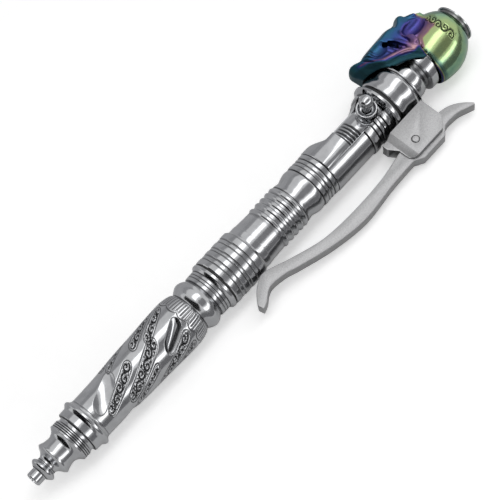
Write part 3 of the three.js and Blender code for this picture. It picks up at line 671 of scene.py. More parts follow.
# %% Twist, panels and scrolls
TWIST = 5.0
TWIST_MIDDLE = 36.0
REPEAT = 120.0
ARC_PER_DEGREE = 0.1
SCROLL_PITCH = 0.78
SCROLL_CELL = 2.1


def twisted(points):
    """Each point's place along the pen, its angle, and its angle inside the twisted repeat."""
    x = points[:, 0]
    angle = np.degrees(np.arctan2(points[:, 2], -points[:, 1]))
    return x, angle, angle - TWIST * (x - TWIST_MIDDLE)


def panel_edge(x, spiral, start, end, middle, half_width):
    """Millimetres to the edge of a round-ended panel, negative inside, and the place across it."""
    across = ((spiral - middle + REPEAT / 2) % REPEAT - REPEAT / 2) * ARC_PER_DEGREE
    beyond = np.abs(x - (start + end) / 2) - ((end - start) / 2 - half_width)
    return np.hypot(np.maximum(beyond, 0), across) - half_width, across


def scrolls(along, across, half_width, leaf_depth=0.0):
    """One on raised scrolls, nought on the ground: spirals that curl to either side by turns."""
    cell = np.floor(along / SCROLL_CELL)
    side = 1 - 2 * (cell % 2)
    out_x = along - (cell + 0.5) * SCROLL_CELL
    out_y = across - side * half_width * 0.25
    turn = np.arctan2(out_y, out_x) * side
    reach = np.hypot(out_x, out_y)
    leaf = np.clip(2 * np.cos(9 * turn + 5 * reach) - 0.4, 0, 1) * np.clip((reach - 0.5) / 0.2, 0, 1)
    spiral = np.clip(1.6 * np.cos(2 * math.pi * reach / SCROLL_PITCH - turn) + 0.45, 0, 1)
    return spiral * (1 - leaf_depth * leaf)


print("the pattern goes once round in", round(360 / TWIST), "mm")

# %% [markdown]
# ## What the engraver cuts
# Each scoop is a start and an end along the pen, an angle, half a width and a depth, and each panel is
# the same without the depth. One function says how deep and how dark the skin is at every point.

# %% The depth and darkness of the engraving
SCOOPS = [(18.4, 27.0, 34, 2.0, 0.5), (37.8, 44.6, 36, 1.6, 0.95)]
PANELS = [(26.3, 34.9, 47, 0.85), (25.5, 38.1, 77, 1.5), (36.2, 44.3, 92, 1.15), (20.3, 31.1, 119, 1.3),
          (33.1, 44.3, 124, 1.3)]
SCOOP_SHADE = 2.2
PANEL_RIM = 0.28
GROUND_DEPTH = 0.2
LINE_DEPTH = 0.1
LINE_HALF = 0.11
PETALS = 12
PETAL_TIP = 44.8
PETAL_END = 48.25
PETAL_LINE_HALF = 0.13
RIB_DEGREES = 7.5
RIB_DEPTH = 0.07


def engrave(points):
    """How deep the skin is cut at each point, and how dark it is there."""
    x, angle, spiral = twisted(points)
    depth, oxide = np.zeros(len(x)), np.zeros(len(x))
    for start, end, middle, half_width, deepest in SCOOPS:
        edge, across = panel_edge(x, spiral, start, end, middle, half_width)
        inside = np.clip(-edge / half_width, 0, 1)
        depth += deepest * (1 - (1 - inside) ** 2)
        # Painted shade: the low side of the deep scoop is darkened as if in its own shade.
        low_side = np.clip(inside * 3, 0, 1) * np.clip((0.1 - across) / 0.5, 0, 1)
        oxide = np.maximum(oxide, SCOOP_SHADE * (deepest - 0.5) * low_side)
        oxide = np.maximum(oxide, np.clip(1.2 - np.abs(edge + 0.05) / 0.1, 0, 0.6))
    for start, end, middle, half_width in PANELS:
        edge, across = panel_edge(x, spiral, start, end, middle, half_width)
        raised = scrolls(x - start, across, half_width, leaf_depth=0.7)
        ground = np.clip((-PANEL_RIM - edge) / 0.12, 0, 1) * (1 - raised)
        outline = np.clip(1.3 - np.abs(edge) / LINE_HALF, 0, 1)
        depth += GROUND_DEPTH * ground + LINE_DEPTH * outline
        oxide = np.maximum(oxide, np.maximum(ground, outline))
    petal = (angle * PETALS / 360) % 1 * 2 - 1
    tip = PETAL_TIP + 0.85 * (1 - np.sqrt(1 - petal ** 2))
    outline = np.clip(1.3 - np.abs(x - tip) / PETAL_LINE_HALF, 0, 1)
    rib = np.clip(-1.5 * np.cos(angle / RIB_DEGREES * 2 * math.pi) - 0.2, 0, 1)
    rib *= np.clip((x - tip - 0.35) / 0.2, 0, 1)
    shown = (x > PETAL_TIP - 0.4) & (x < PETAL_END)
    depth += (LINE_DEPTH * outline + RIB_DEPTH * rib) * shown
    return depth, np.maximum(oxide, np.maximum(outline, 0.75 * rib) * shown)


print(round(360 / REPEAT), "repeats of", len(PANELS), "panels and", len(SCOOPS), "scoops")

# %% [markdown]
# ## The grip's blank and its skin
# The blank is turned like the nose, from the thread at the nose to the bead and the flared end. It is
# spun in fine steps, because every point of its skin is then lowered by what the engraver cuts there.

# %% Grip
GRIP_STEP = 0.13
ENGRAVED = (17.8, 48.4)
NOSE_SOCKET = 6.7
BARREL_SOCKET = 6.4

skin_curve = curve([(17.8, 5.22), (21.0, 5.24), (25.0, 5.35), (30.0, 5.65), (35.0, 5.8), (40.0, 6.0),
                    (44.6, 6.12), (46.8, 5.86), (48.0, 5.5), (48.4, 5.2)], steps=10)
skin_places = np.arange(ENGRAVED[0], ENGRAVED[1], GRIP_STEP)
skin = [(float(x), float(r)) for x, r in zip(skin_places, np.interp(skin_places, *zip(*skin_curve)))]
grip_lines = [48.62, 52.97, 53.95, 54.65, 55.45]
grip_section = (
    [(grip_start, SPIGOT + FIT_GAP), (grip_start, 5.1), (grip_start + 0.08, 5.2)] + skin + [(48.62, 5.03)]
    + bead(48.8, 52.8, 5.1, 0.94, steps=14) + [(52.97, 5.08), (53.15, 5.42), (53.8, 5.46)]
    + [(53.95, 5.33), (54.1, 5.46), (54.5, 5.46), (54.65, 5.33), (54.8, 5.46), (55.2, 5.46)]
    + curve([(55.45, 5.42), (55.8, 5.75), (56.1, 6.08), (56.35, 6.13), (grip_end - 0.1, 6.13)])
    + [(grip_end, 6.0), (grip_end, SPIGOT + FIT_GAP), (grip_end - BARREL_SOCKET, SPIGOT + FIT_GAP)]
    + [(grip_end - BARREL_SOCKET, REFILL_BORE), (grip_start + NOSE_SOCKET, REFILL_BORE)]
    + [(grip_start + NOSE_SOCKET, SPIGOT + FIT_GAP)]
)
grip = lathe(grip_section, "grip_engraved", sides=300, edge=0)
points = get_points(grip)
skin_radius = np.hypot(points[:, 1], points[:, 2])
on_skin = (points[:, 0] > ENGRAVED[0] - 0.01) & (points[:, 0] < ENGRAVED[1]) & (skin_radius > 4.6)
depth, oxide = engrave(points)
points[:, 1:] *= (1 - on_skin * depth / skin_radius)[:, None]
set_points(grip, points)
# The turned lines get painted shade in their grooves. The engraving's black is oxide, with painted shade on
# the deep scoop's low side.
lines = painted_groove_shade(points, grip_lines, 0.12, floor=4.7)
set_attribute(grip, "recess", np.maximum(oxide * on_skin, lines))
finish_piece(grip, polished_steel, "barrel", "front_barrel", smooth=45)

# %% [markdown]
# ## Barrel: bands, fine rings and the vase
# The middle barrel is where the turner shows off: four broad bands with sunken ones between them, a
# slender plain stretch, five thin rings, a vase-shaped swell, and four more rings. All of it is one
# section on the lathe.

# %% Middle barrel
BAND = 6.14
BAND_EDGES = [0.0, 1.55, 2.6, 4.05, 4.8, 6.45, 7.5, 9.3]
FIRST_RINGS = [74.1, 75.9, 77.45, 79.0, 80.4]
FRONT_SPIGOT_START = 51.15
REAR_SPIGOT = 4.7
REAR_SOCKET = 4.3


def stepped_bands(start, edges, radius):
    """Bands that stand proud and sunken ones by turns, with a hair line at each step."""
    out = []
    for i, (first, last) in enumerate(zip(edges, edges[1:])):
        level = radius - 0.1 * (i % 2)
        out += [(start + first + 0.1, level - 0.12), (start + first + 0.2, level)]
        out += bead(start + first + 0.35, start + last - 0.35, level, 0.03, steps=3)
        out += [(start + last - 0.2, level), (start + last - 0.1, level - 0.12)]
    return out, [start + edge for edge in edges[1:]]


def ring_row(places, crest, valley, width):
    """Thin round rings with valleys between them."""
    out = []
    for place in places:
        out += bead(place - width / 2, place + width / 2, valley, crest - valley, steps=6)
    return out


bands, band_lines = stepped_bands(mid_start, BAND_EDGES, BAND)
mid_section = (
    [(FRONT_SPIGOT_START, SPIGOT), (mid_start, SPIGOT), (mid_start, BAND - 0.2)]
    + bands
    + curve([(66.75, 5.8), (67.2, 5.56), (68.6, 5.56), (68.85, 5.5), (70.2, 5.4), (73.2, 5.28)])
    + ring_row(FIRST_RINGS, 5.55, 5.2, 1.15)
    + curve([(81.1, 5.22), (81.5, 5.27), (82.1, 5.14), (82.8, 5.08), (83.4, 5.24), (84.2, 5.5),
             (85.1, 5.66), (86.0, 5.55), (86.5, 5.35)])
    + [(86.58, 5.6)] + bead(86.7, 87.6, 5.64, 0.05, steps=5) + [(87.75, 5.45)]
    + bead(87.85, 88.6, 5.5, 0.13, steps=5) + [(88.7, 5.4)] + bead(88.8, 89.65, 5.48, 0.15, steps=5)
    + [(89.8, 5.36)] + bead(89.95, mid_end - 0.2, 5.62, 0.06, steps=5) + [(mid_end, 5.4)]
    + [(mid_end, REAR_SPIGOT + FIT_GAP), (mid_end - REAR_SOCKET, REAR_SPIGOT + FIT_GAP)]
    + [(mid_end - REAR_SOCKET, REFILL_BORE), (FRONT_SPIGOT_START, REFILL_BORE)]
)
mid_barrel = lathe(mid_section, "barrel_turned")
ring_valleys = [(a + b) / 2 for a, b in zip(FIRST_RINGS, FIRST_RINGS[1:])]
barrel_lines = band_lines + ring_valleys + [73.3, 81.15, 86.45, 87.75, 88.7, 89.8, mid_end - 0.05]
mark_lines(mid_barrel, barrel_lines, 0.12, floor=5.0)
finish_piece(mid_barrel, polished_steel, "barrel", "mid_barrel")

# %% [markdown]
# ## Collar and neck
# Behind the bolt a flange, a black seal and a collar follow each other. The collar has a notch and a
# rolled rim, and the stepped neck behind it carries the skull. Both are turned like the rest.

# %% Collar and neck
PLUG = 3.7
NECK_BORE = 2.5
NECK_BORE_DEPTH = 5.5
STUD = 1.3
STUD_DEPTH = 5.0
plug_start = span("collar")[0]
collar_section = (
    [(plug_start, 0.0), (plug_start, PLUG), (collar_start, PLUG), (collar_start, 5.9)]
    + curve([(collar_start + 0.05, 6.1), (collar_start + 0.35, 6.32), (collar_start + 0.9, 6.36),
             (collar_start + 1.6, 6.3), (collar_start + 2.6, 6.14), (collar_start + 3.5, 6.22),
             (collar_start + 4.4, 6.38), (collar_start + 4.9, 6.32), (collar_start + 5.4, 6.1)])
    + [(collar_start + 5.6, 6.08)]
    + curve([(collar_start + 5.68, 6.25), (collar_start + 5.8, 6.4), (collar_end - 0.1, 6.42),
             (collar_end, 6.2)])
    + [(collar_end, NECK_BORE), (collar_end - NECK_BORE_DEPTH, NECK_BORE)]
    + [(collar_end - NECK_BORE_DEPTH, 0.0)]
)
collar = lathe(collar_section, "collar_turned", closed=False)
mark_lines(collar, [collar_start + 5.58], 0.1, floor=5.4)
finish_piece(collar, polished_steel, "barrel", "collar")

neck_step = collar_end + 3.9
neck_start = span("neck_post")[0]
neck_section = (
    [(neck_start, 0.0), (neck_start, 2.4), (collar_end, 2.4), (collar_end, 4.2)]
    + curve([(collar_end + 0.1, 4.3), (collar_end + 0.6, 4.66), (collar_end + 1.7, 4.92),
             (collar_end + 2.8, 4.76), (collar_end + 3.5, 4.4)])
    + [(neck_step + 0.1, 4.1), (neck_step + 0.7, 4.1)]
    + curve([(neck_step + 0.85, 4.9), (neck_step + 1.0, 5.3), (neck_step + 1.3, 5.42),
             (neck_end - 1.0, 5.44)])
    + [(neck_end - 0.8, 5.3), (neck_end, 5.3), (neck_end, STUD), (neck_end - STUD_DEPTH, STUD)]
    + [(neck_end - STUD_DEPTH, 0.0)]
)
neck = lathe(neck_section, "neck_turned", closed=False)
mark_lines(neck, [neck_step + 0.4], 0.35, floor=3.9)
finish_piece(neck, polished_steel, "barrel", "neck_post")

# %% [markdown]
# ## The thin black rings
# Two rubber rings sit in the joints, one behind the grip and one behind the flange, and keep them from
# working loose. Only their outer edges show, with a faint crown.

# %% Thin black rings


def ring_of_rubber(name, node, outer, inner):
    """A thin ring with a faint crown that fills its node's length."""
    start, end = span(node)
    crown = bead(start, end, outer - 0.08, 0.08, steps=5)
    ring = lathe(crown + [(end, inner), (start, inner)], name, edge=0)
    finish_piece(ring, black_rubber, "barrel", node)


ring_of_rubber("joint_seal", "joint_ring", BAND - 0.1, SPIGOT + 0.12)
ring_of_rubber("flange_seal", "seal_ring", 5.85, 3.85)

# %% [markdown]
# ## The pieces inside, and what stays as packed
# The refill, the screws and the stud already have their true shapes, so they only get their finishes.

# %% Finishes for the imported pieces
packed_finishes = {
    "refill_ball": drawn_steel,
    "refill_tip": turned_brass,
    "refill_tube": drawn_steel,
    "refill_plug": moulded_plastic,
    "clip_screw_front": drawn_steel,
    "clip_screw_back": drawn_steel,
    "finial_stud": drawn_steel,
}
for node_name, finish in packed_finishes.items():
    materials = frame["nodes"][node_name].data.materials
    materials.clear()
    materials.append(finish)
print(len(packed_finishes), "packed pieces have their finish")

# %% [markdown]
# ## The two springs
# One spring pushes the refill back and the other holds the clip shut. Their wire is right as packed, but
# a stiff copy would cut through what presses on it. Each is copied and its loose triangles are joined
# into one skin.

# %% Springs
SPRING_JOIN = 0.001 * MM


def make_spring(name, node):
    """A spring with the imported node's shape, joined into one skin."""
    deselect()
    spring = bpy.data.objects.new(name, frame["nodes"][node].data.copy())
    bpy.context.collection.objects.link(spring)
    only(spring)
    loose_points = len(spring.data.vertices)
    bpy.ops.object.mode_set(mode="EDIT")
    bpy.ops.mesh.select_all(action="SELECT")
    bpy.ops.mesh.remove_doubles(threshold=SPRING_JOIN)
    bpy.ops.object.mode_set(mode="OBJECT")
    bpy.ops.object.shade_smooth_by_angle(angle=math.radians(50))
    spring.data.materials.clear()
    spring.data.materials.append(drawn_steel)
    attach(spring, "barrel")
    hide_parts(node)
    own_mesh(spring)
    print(name, loose_points, "points joined to", len(spring.data.vertices))


deforming = {node["node"]: node for joint in joints.values() for node in joint.get("deforming_nodes", [])}
clip_low, clip_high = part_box("clip_spring")
clip_seat = (clip_low + clip_high) / 2
clip_seat.y = deforming["clip_spring"]["fixed_end_y_m"]
make_spring("refill_spring_wire", "return_spring")
make_spring("clip_spring_wire", "clip_spring")

# %% [markdown]
# ## Cutting and flat stock
# Windows, slots and holes are cut as in the workshop: a cutter is made, placed and subtracted. Flat
# stock is an outline that is filled and extruded. Both are drawn with z pointing away from the pen's
# axis and are then swung round it to their angle: 0 for the clip, 90 for the knob, 180 for the face.

# %% Slabs, rods and cuts
ROD_SIDES = 48
CUTTER_WIDTH = 30.0
LONG_CUTTER = 40.0


def swing(piece, angle):
    """Turns a piece drawn on +z about the pen's axis to the given angle from the clip."""
    piece.data.transform(Matrix.Rotation(math.radians(90 - angle), 4, "X"))


def slab(outline, name, thickness):
    """Fills a closed outline in the x-z plane and extrudes it to a plate centred on y."""
    piece = draw_chain(list(outline) + [outline[0]], name)
    bpy.ops.mesh.select_all(action="SELECT")
    bpy.ops.mesh.remove_doubles(threshold=JOIN_WITHIN)
    bpy.ops.mesh.select_all(action="SELECT")
    bpy.ops.mesh.edge_face_add()
    bpy.ops.mesh.extrude_region_move(TRANSFORM_OT_translate={"value": (0, thickness, 0)})
    bpy.ops.mesh.select_all(action="SELECT")
    bpy.ops.mesh.normals_make_consistent(inside=False)
    bpy.ops.object.mode_set(mode="OBJECT")
    piece.data.transform(Matrix.Translation((0, -thickness / 2, 0)))
    return piece


def upright(radius, start, end, x):
    """A round cutter standing on the pen's axis at x, from one height to another."""
    deselect()
    bpy.ops.mesh.primitive_cylinder_add(vertices=ROD_SIDES, radius=radius, depth=end - start)
    rod = bpy.context.object
    rod.data.transform(Matrix.Translation((x, 0, (start + end) / 2)))
    return rod


def combine(piece, operation, *tools):
    """Adds or subtracts closed tools and throws them away."""
    for tool in tools:
        add_modifier(piece, "BOOLEAN", operation=operation, solver="EXACT", object=tool)
        bpy.data.objects.remove(tool)


print("a cutter with a radius of 1 mm has flats of", round(2 * math.pi / ROD_SIDES, 2), "mm")

# %% [markdown]
# ## Rear barrel with its scoop and windows
# A plain tube with ring grooves and a flange. On the side of the thumb a flat is milled, open into the
# bore, so that the finger reaches the bolt. The slot above it lets the boss slide and turn.

# %% Rear barrel
REAR = 5.8
BORE = 3.9
REAR_SPIGOT_LENGTH = 4.0
rear_lines = [rear_end - line for line in (8.55, 6.45, 5.35, 4.35, 3.35, 1.55)]
rear_section = (
    [(mid_end - REAR_SPIGOT_LENGTH, REAR_SPIGOT), (mid_end, REAR_SPIGOT)]
    + [(mid_end, REAR - 0.15), (mid_end + 0.2, REAR)]
    + [(rear_end - 8.75, REAR), (rear_end - 8.6, REAR - 0.3), (rear_end - 8.45, REAR + 0.1)]
    + bead(rear_end - 8.35, rear_end - 6.75, REAR + 0.24, 0.06)
    + [(rear_end - 6.6, REAR - 0.25), (rear_end - 6.4, REAR - 0.3), (rear_end - 6.2, REAR)]
    + [(rear_end - 5.5, REAR), (rear_end - 5.35, REAR - 0.3)]
    + bead(rear_end - 5.2, rear_end - 4.5, REAR + 0.2, 0.08, steps=6)
    + [(rear_end - 4.35, REAR - 0.3), (rear_end - 4.1, REAR - 0.1), (rear_end - 3.5, REAR - 0.1)]
    + [(rear_end - 3.35, REAR - 0.3)]
    + bead(rear_end - 3.2, rear_end - 2.3, REAR + 0.2, 0.1, steps=6)
    + [(rear_end - 2.1, REAR - 0.15), (rear_end - 1.6, REAR - 0.2), (rear_end - 1.35, REAR + 0.1)]
    + curve([(rear_end - 1.2, 6.45), (rear_end - 1.0, 6.75), (rear_end - 0.75, 6.83),
             (rear_end - 0.3, 6.82), (rear_end - 0.08, 6.7)])
    + [(rear_end, 6.5), (rear_end, BORE), (mid_end - REAR_SPIGOT_LENGTH, BORE)]
)
rear_barrel = lathe(rear_section, "rear_barrel_turned", sides=144, edge=0)
print("the rear barrel's tube is", round(rear_end - mid_end, 2), "mm long")

# %% [markdown]
# ## The cuts in the rear barrel
# The scoop's cutter is a plate whose lower edge is the ramp and the flat. The slot is cut twice, once
# where the bolt rests and once where it ends its turn, and a sector behind it opens the thumb's window.

# %% Cuts in the rear barrel
SLOT_WIDTH = 5.5
BOLT_TURN = 12
WINDOW_LENGTH = 11.9
SCOOP_ANGLE = 160
SCOOP_FLAT = 4.02
CUT_HEIGHT = 12.0
THUMB_ANGLES = range(62, 179, 4)
THUMB_REACH = 9
bolt_end = span("bolt_body")[1]
window_start = bolt_end - WINDOW_LENGTH
flat_start, flat_end = mid_end + 5.6, rear_end - 5.0
ramp = curve([(mid_end + 1.5, REAR + 0.05), (mid_end + 2.4, 5.6), (mid_end + 3.5, 4.95),
              (mid_end + 4.4, 4.35), (mid_end + 5.0, 4.08), (flat_start, SCOOP_FLAT)], steps=3)
scoop_outline = (
    ramp + [(flat_end + 0.1, SCOOP_FLAT), (rear_end - 3.44, 4.97), (rear_end - 1.58, 6.07)]
    + [(rear_end - 0.41, 6.96), (rear_end - 0.41, CUT_HEIGHT), (mid_end + 1.5, CUT_HEIGHT)]
)
scoop = slab(scoop_outline, "scoop_cutter", CUTTER_WIDTH)
swing(scoop, SCOOP_ANGLE)
slot_outline = [(window_start, 0.0), (bolt_end + 0.3, 0.0), (bolt_end + 0.3, CUT_HEIGHT),
                (window_start, CUT_HEIGHT)]
slot = slab(slot_outline, "slot_cutter", SLOT_WIDTH)
slot_turned = slab(slot_outline, "slot_turned_cutter", SLOT_WIDTH)
swing(slot_turned, 90 + BOLT_TURN)
sector = [(-THUMB_REACH * math.cos(math.radians(angle)), THUMB_REACH * math.sin(math.radians(angle)))
          for angle in THUMB_ANGLES]
thumb = slab([(0.0, 0.0)] + sector, "thumb_cutter", flat_end - window_start)
window_middle = (window_start + flat_end) / 2
thumb.data.transform(Matrix(((0, 1, 0, window_middle), (1, 0, 0, 0), (0, 0, 1, 0), (0, 0, 0, 1))))
thumb.data.flip_normals()
combine(rear_barrel, "DIFFERENCE", scoop, slot, slot_turned, thumb)
ease_edges(rear_barrel, 0.07, sharpest=35)
mark_lines(rear_barrel, rear_lines, 0.13, floor=5.3)
finish_piece(rear_barrel, polished_steel, "barrel", "rear_barrel")

# %% [markdown]
# ## Bolt
# The bolt is a cylinder with a socket for the refill and a grip of fine grooves where the thumb rubs.
# A seat is bored into it for the boss, and a hole for the ball's post.

# %% Bolt
BOLT = 3.75
BOLT_CHAMFER = 0.25
REFILL_SOCKET = 3.05
REFILL_SOCKET_DEPTH = 3.2
BOSS_SEAT = 2.75
POST_HOLE = 1.1
bolt_start = span("bolt_body")[0]
socket_end = bolt_start + REFILL_SOCKET_DEPTH
grip_grooves = [window_start + 0.5 + 0.85 * i for i in range(6)]
bolt_section = [(socket_end, 0.0), (socket_end, REFILL_SOCKET), (bolt_start, REFILL_SOCKET)]
bolt_section += [(bolt_start, BOLT - BOLT_CHAMFER), (bolt_start + BOLT_CHAMFER, BOLT)]
bolt_section += [(grip_grooves[0] - 0.1, BOLT)]
for start, end in zip(grip_grooves, grip_grooves[1:]):
    bolt_section += [(start, BOLT - 0.04), (start + 0.2, BOLT - 0.32), (start + 0.42, BOLT - 0.32)]
    bolt_section += [(start + 0.6, BOLT - 0.04), (end - 0.12, BOLT)]
bolt_section += [(bolt_end - BOLT_CHAMFER, BOLT), (bolt_end, BOLT - BOLT_CHAMFER), (bolt_end, 0.0)]
bolt = lathe(bolt_section, "bolt_turned", closed=False, edge=0)
boss_seat = upright(BOSS_SEAT, 2.75, 8.0, knob_x)
post_hole = upright(POST_HOLE, 0.75, 8.0, knob_x)
combine(bolt, "DIFFERENCE", boss_seat, post_hole)
ease_edges(bolt, 0.04, sharpest=35)
mark_lines(bolt, [start + 0.31 for start in grip_grooves[:-1]], 0.24, floor=3.2)
finish_piece(bolt, polished_steel, "bolt", "bolt_body")

# %% [markdown]
# ## Boss and knob
# A round boss stands in the bolt's seat, dished on top, and the ball's post goes down its middle. Both are
# turned on the lathe like the rest, with their height drawn along x, and then stood up.

# %% Boss and knob


def stand_up(piece):
    """Turns a piece that was lathed along x to stand on the pen's axis at the knob."""
    piece.data.transform(Matrix.Translation((knob_x, 0, 0)) @ Matrix.Rotation(math.radians(-90), 4, "Y"))


boss_section = (
    [(2.85, POST_HOLE), (2.85, 2.3), (2.98, 2.45), (6.3, 2.45)] + bead(6.32, 6.58, 2.3, 0.12, steps=3)[1:]
    + curve([(6.6, 2.12), (6.5, 1.95), (6.15, 1.8), (5.9, 1.5), (5.82, POST_HOLE)])
)
boss = lathe(boss_section, "boss_turned")
stand_up(boss)
finish_piece(boss, polished_steel, "bolt", "bolt_boss")

BALL = 1.65
BALL_HEIGHT = 9.4
BALL_STEPS = 14
POST = 1.0
foot = math.acos(POST / BALL)
ball_angles = [foot + (-math.pi / 2 - foot) * i / BALL_STEPS for i in range(BALL_STEPS)]
ball_arc = [(BALL_HEIGHT - BALL * math.sin(angle), BALL * math.cos(angle)) for angle in ball_angles]
knob_section = [(0.85, 0.0), (0.85, POST - 0.1), (0.95, POST)] + ball_arc + [(BALL_HEIGHT + BALL, 0.0)]
knob = lathe(knob_section, "knob_turned", closed=False, sides=64, edge=0.03)
stand_up(knob)
finish_piece(knob, polished_steel, "bolt", "bolt_knob")

# %% [markdown]
# ## Clip: housing, lever and pin
# A square housing sits astride the flange and the collar, held by two screws from inside the collar.
# The lever swings on a pin through it, pushed out at the thumb end by a small spring, so that its
# rounded end presses a pocket's cloth against the barrel. These cut the bore that housing and lever
# share, and the two facets on the housing's front corners.

# %% Cutters for the clip
PIVOT_BORE = 0.95
front, back = pin_x - 4.1, pin_x + 8.1


def lay_across(piece):
    """Turns a piece that was lathed along x to lie across the clip at its pin."""
    piece.data.transform(Matrix.Translation((pin_x, 0, pin_out)) @ Matrix.Rotation(math.pi / 2, 4, "Z"))


def pivot_bore(name):
    """A cutter for the pin's bore, longer than the clip is wide."""
    section = [(-6, 0.0), (-6, PIVOT_BORE), (6, PIVOT_BORE), (6, 0.0)]
    bore = lathe(section, name, closed=False, sides=ROD_SIDES, edge=0)
    lay_across(bore)
    return bore


def front_facet(side):
    """A cutter for one front corner of the housing, drawn in plan and turned a quarter to stand up."""
    facet = slab([(front - 3, side * 1.8), (front + 0.2, side * 1.8), (front + 1.8, side * 2.86),
                  (front + 1.8, side * 4), (front - 3, side * 4)], "facet_cutter", 2 * CUTTER_WIDTH)
    swing(facet, 0)
    return facet


print("the housing runs from", round(front, 2), "to", round(back, 2), "mm")

# %% [markdown]
# ## The clip's housing
# The housing is milled from flat stock: its outline first, then the saddle that fits the collar, the
# lever's slot, the bores and the facets. It is bead blasted at last, which rounds every edge a little.

# %% The clip's housing
HOUSING_WIDTH = 5.7
LEVER_SLOT = 3.3
SADDLE = 7.15
SCREW_BORE = 1.1
SCREW_SPACING = 2.7
top = pin_out + 2.9
slot_floor = pin_out - 3.2
housing_outline = (
    [(front - 1.4, 4.0), (front - 1.4, pin_out - 3.4), (front, pin_out - 1.2), (front, top - 2.6)]
    + [(front + 0.12, top - 1.3), (front + 0.75, top - 0.45), (front + 1.6, top - 0.08), (front + 2.4, top)]
    + [(back - 2.3, top), (back, top - 2.3), (back, 4.0)]
)
housing = slab(housing_outline, "housing_milled", HOUSING_WIDTH)
deselect()
bpy.ops.mesh.primitive_cylinder_add(vertices=LATHE_SIDES, radius=SADDLE, depth=LONG_CUTTER,
                                    rotation=(0, math.pi / 2, 0))
saddle = bpy.context.object
saddle.data.transform(saddle.matrix_basis)
saddle.matrix_basis = Matrix.Identity(4)
saddle.data.transform(Matrix.Translation((pin_x, 0, 0)))
slot_corners = [(front - 5, slot_floor), (back + 5, slot_floor), (back + 5, top + 2), (front - 5, top + 2)]
lever_slot = slab(slot_corners, "lever_slot_cutter", LEVER_SLOT)
screw_places = [collar_end - 2.6 + side * SCREW_SPACING / 2 for side in (-1, 1)]
screw_holes = [upright(SCREW_BORE, 4.0, slot_floor - 0.6, place) for place in screw_places]
facets = [front_facet(side) for side in (-1, 1)]
combine(housing, "DIFFERENCE", saddle, lever_slot, pivot_bore("housing_bore"), *screw_holes, *facets)
swing(housing, 0)
ease_edges(housing, 0.3, segments=3)
finish_piece(housing, bead_blasted_steel, "barrel", "clip_housing", smooth=25)

# %% [markdown]
# ## The clip's lever and its pin
# The lever is cut from plate to an S-shaped outline: the contact end with its upturned tip, a long arm,
# the belly round the pin and the thumb end over the spring. Its outline is measured from the pin. The pin
# is a turned rod with chamfered ends that show on the housing's sides.

# %% Lever and pin
LEVER_THICKNESS = 3.0
POCKET_GAP = 0.36
LEVER_REACH = 45.0
PIN = 0.85
contact = BAND + POCKET_GAP - pin_out
reach = LEVER_REACH
lever_inner = curve([
    (-reach - 5.9, contact + 4.2), (-reach - 3.9, contact + 2.1), (-reach - 1.9, contact + 0.7),
    (-reach, contact), (-reach + 1.6, contact + 0.25), (-reach + 3.6, contact + 1.0),
    (-reach + 7.1, contact + 2.4), (-reach * 0.668, -0.45), (-reach * 0.464, 0.3), (-reach * 0.259, 0.05),
    (-5.4, -0.9), (-2.4, -1.35), (2.6, -1.35), (8.3, -0.8), (11.3, -0.05), (13.6, 1.5), (15.5, 3.7),
], steps=5)
lever_thumb = curve([(15.3, 4.2), (13.6, 3.5), (11.3, 2.6), (8.3, 2.3)], steps=5)
lever_belly = [(7.1, 2.5), (5.2, 4.0), (-1.7, 4.0), (-3.8, 2.7)]
lever_arm = curve([
    (-5.4, 2.7), (-reach * 0.259, 2.9), (-reach * 0.464, 3.6), (-reach * 0.668, 2.2),
    (-reach + 7.1, contact + 5.15), (-reach + 3.6, contact + 3.9), (-reach, contact + 3.3),
    (-reach - 1.9, contact + 3.8), (-reach - 3.9, contact + 5.1), (-reach - 5.6, contact + 5.7),
], steps=5)
whole_outline = lever_inner + lever_thumb + lever_belly + lever_arm
lever = slab([(pin_x + x, pin_out + out) for x, out in whole_outline], "lever_milled", LEVER_THICKNESS)
combine(lever, "DIFFERENCE", pivot_bore("lever_bore"))
swing(lever, 0)
ease_edges(lever, 0.22, sharpest=50, segments=3)
finish_piece(lever, bead_blasted_steel, "clip", "clip_lever", smooth=25)

half_pin = HOUSING_WIDTH / 2 + 0.2
pin_section = [(-half_pin, 0.0), (-half_pin, 0.66), (-half_pin + 0.16, PIN)]
pin_section += [(half_pin - 0.16, PIN), (half_pin, 0.66), (half_pin, 0.0)]
pin = lathe(pin_section, "pin_turned", closed=False, sides=ROD_SIDES, edge=0.03)
lay_across(pin)
swing(pin, 0)
finish_piece(pin, bead_blasted_steel, "barrel", "clip_pin")

# %% [markdown]
# ## Skull
# A skull like this is usually cast from a wax that was built up and carved, and this one is made in the
# same way. Blocks, balls and ropes of balls are joined and remeshed into one skin, and then it is cut.
# These are the tools for that.

# %% Clay: balls, ropes, joining and remeshing
BALL_SEGMENTS = 24
BALL_RINGS = 12


def ball(x, y, z, size_x, size_y, size_z, name="clay"):
    """A ball at a place, with its own size along each axis."""
    deselect()
    bpy.ops.mesh.primitive_uv_sphere_add(segments=BALL_SEGMENTS, ring_count=BALL_RINGS, radius=1.0)
    piece = bpy.context.object
    piece.name = name
    piece.data.transform(Matrix.Translation((x, y, z)) @ Matrix.Diagonal((size_x, size_y, size_z, 1)))
    return piece


def rope(path, radii, balls=16, name="clay"):
    """Overlapping balls along a curve, once on each side of the skull."""
    track = np.array(curve(path))
    places = np.linspace(0, len(track) - 1, balls)
    out = []
    for place in places:
        x, y, z = (np.interp(place, range(len(track)), track[:, i]) for i in range(3))
        radius = np.interp(place / places[-1], np.linspace(0, 1, len(radii)), radii)
        out += [ball(x, y, side * z, radius, radius, radius, name) for side in (-1, 1)]
    return out


def join(pieces, name):
    """Joins pieces into one object, still as separate shells."""
    only(pieces[0])
    for piece in pieces[1:]:
        piece.select_set(True)
    bpy.ops.object.join()
    joined = bpy.context.object
    joined.name = joined.data.name = name
    return joined


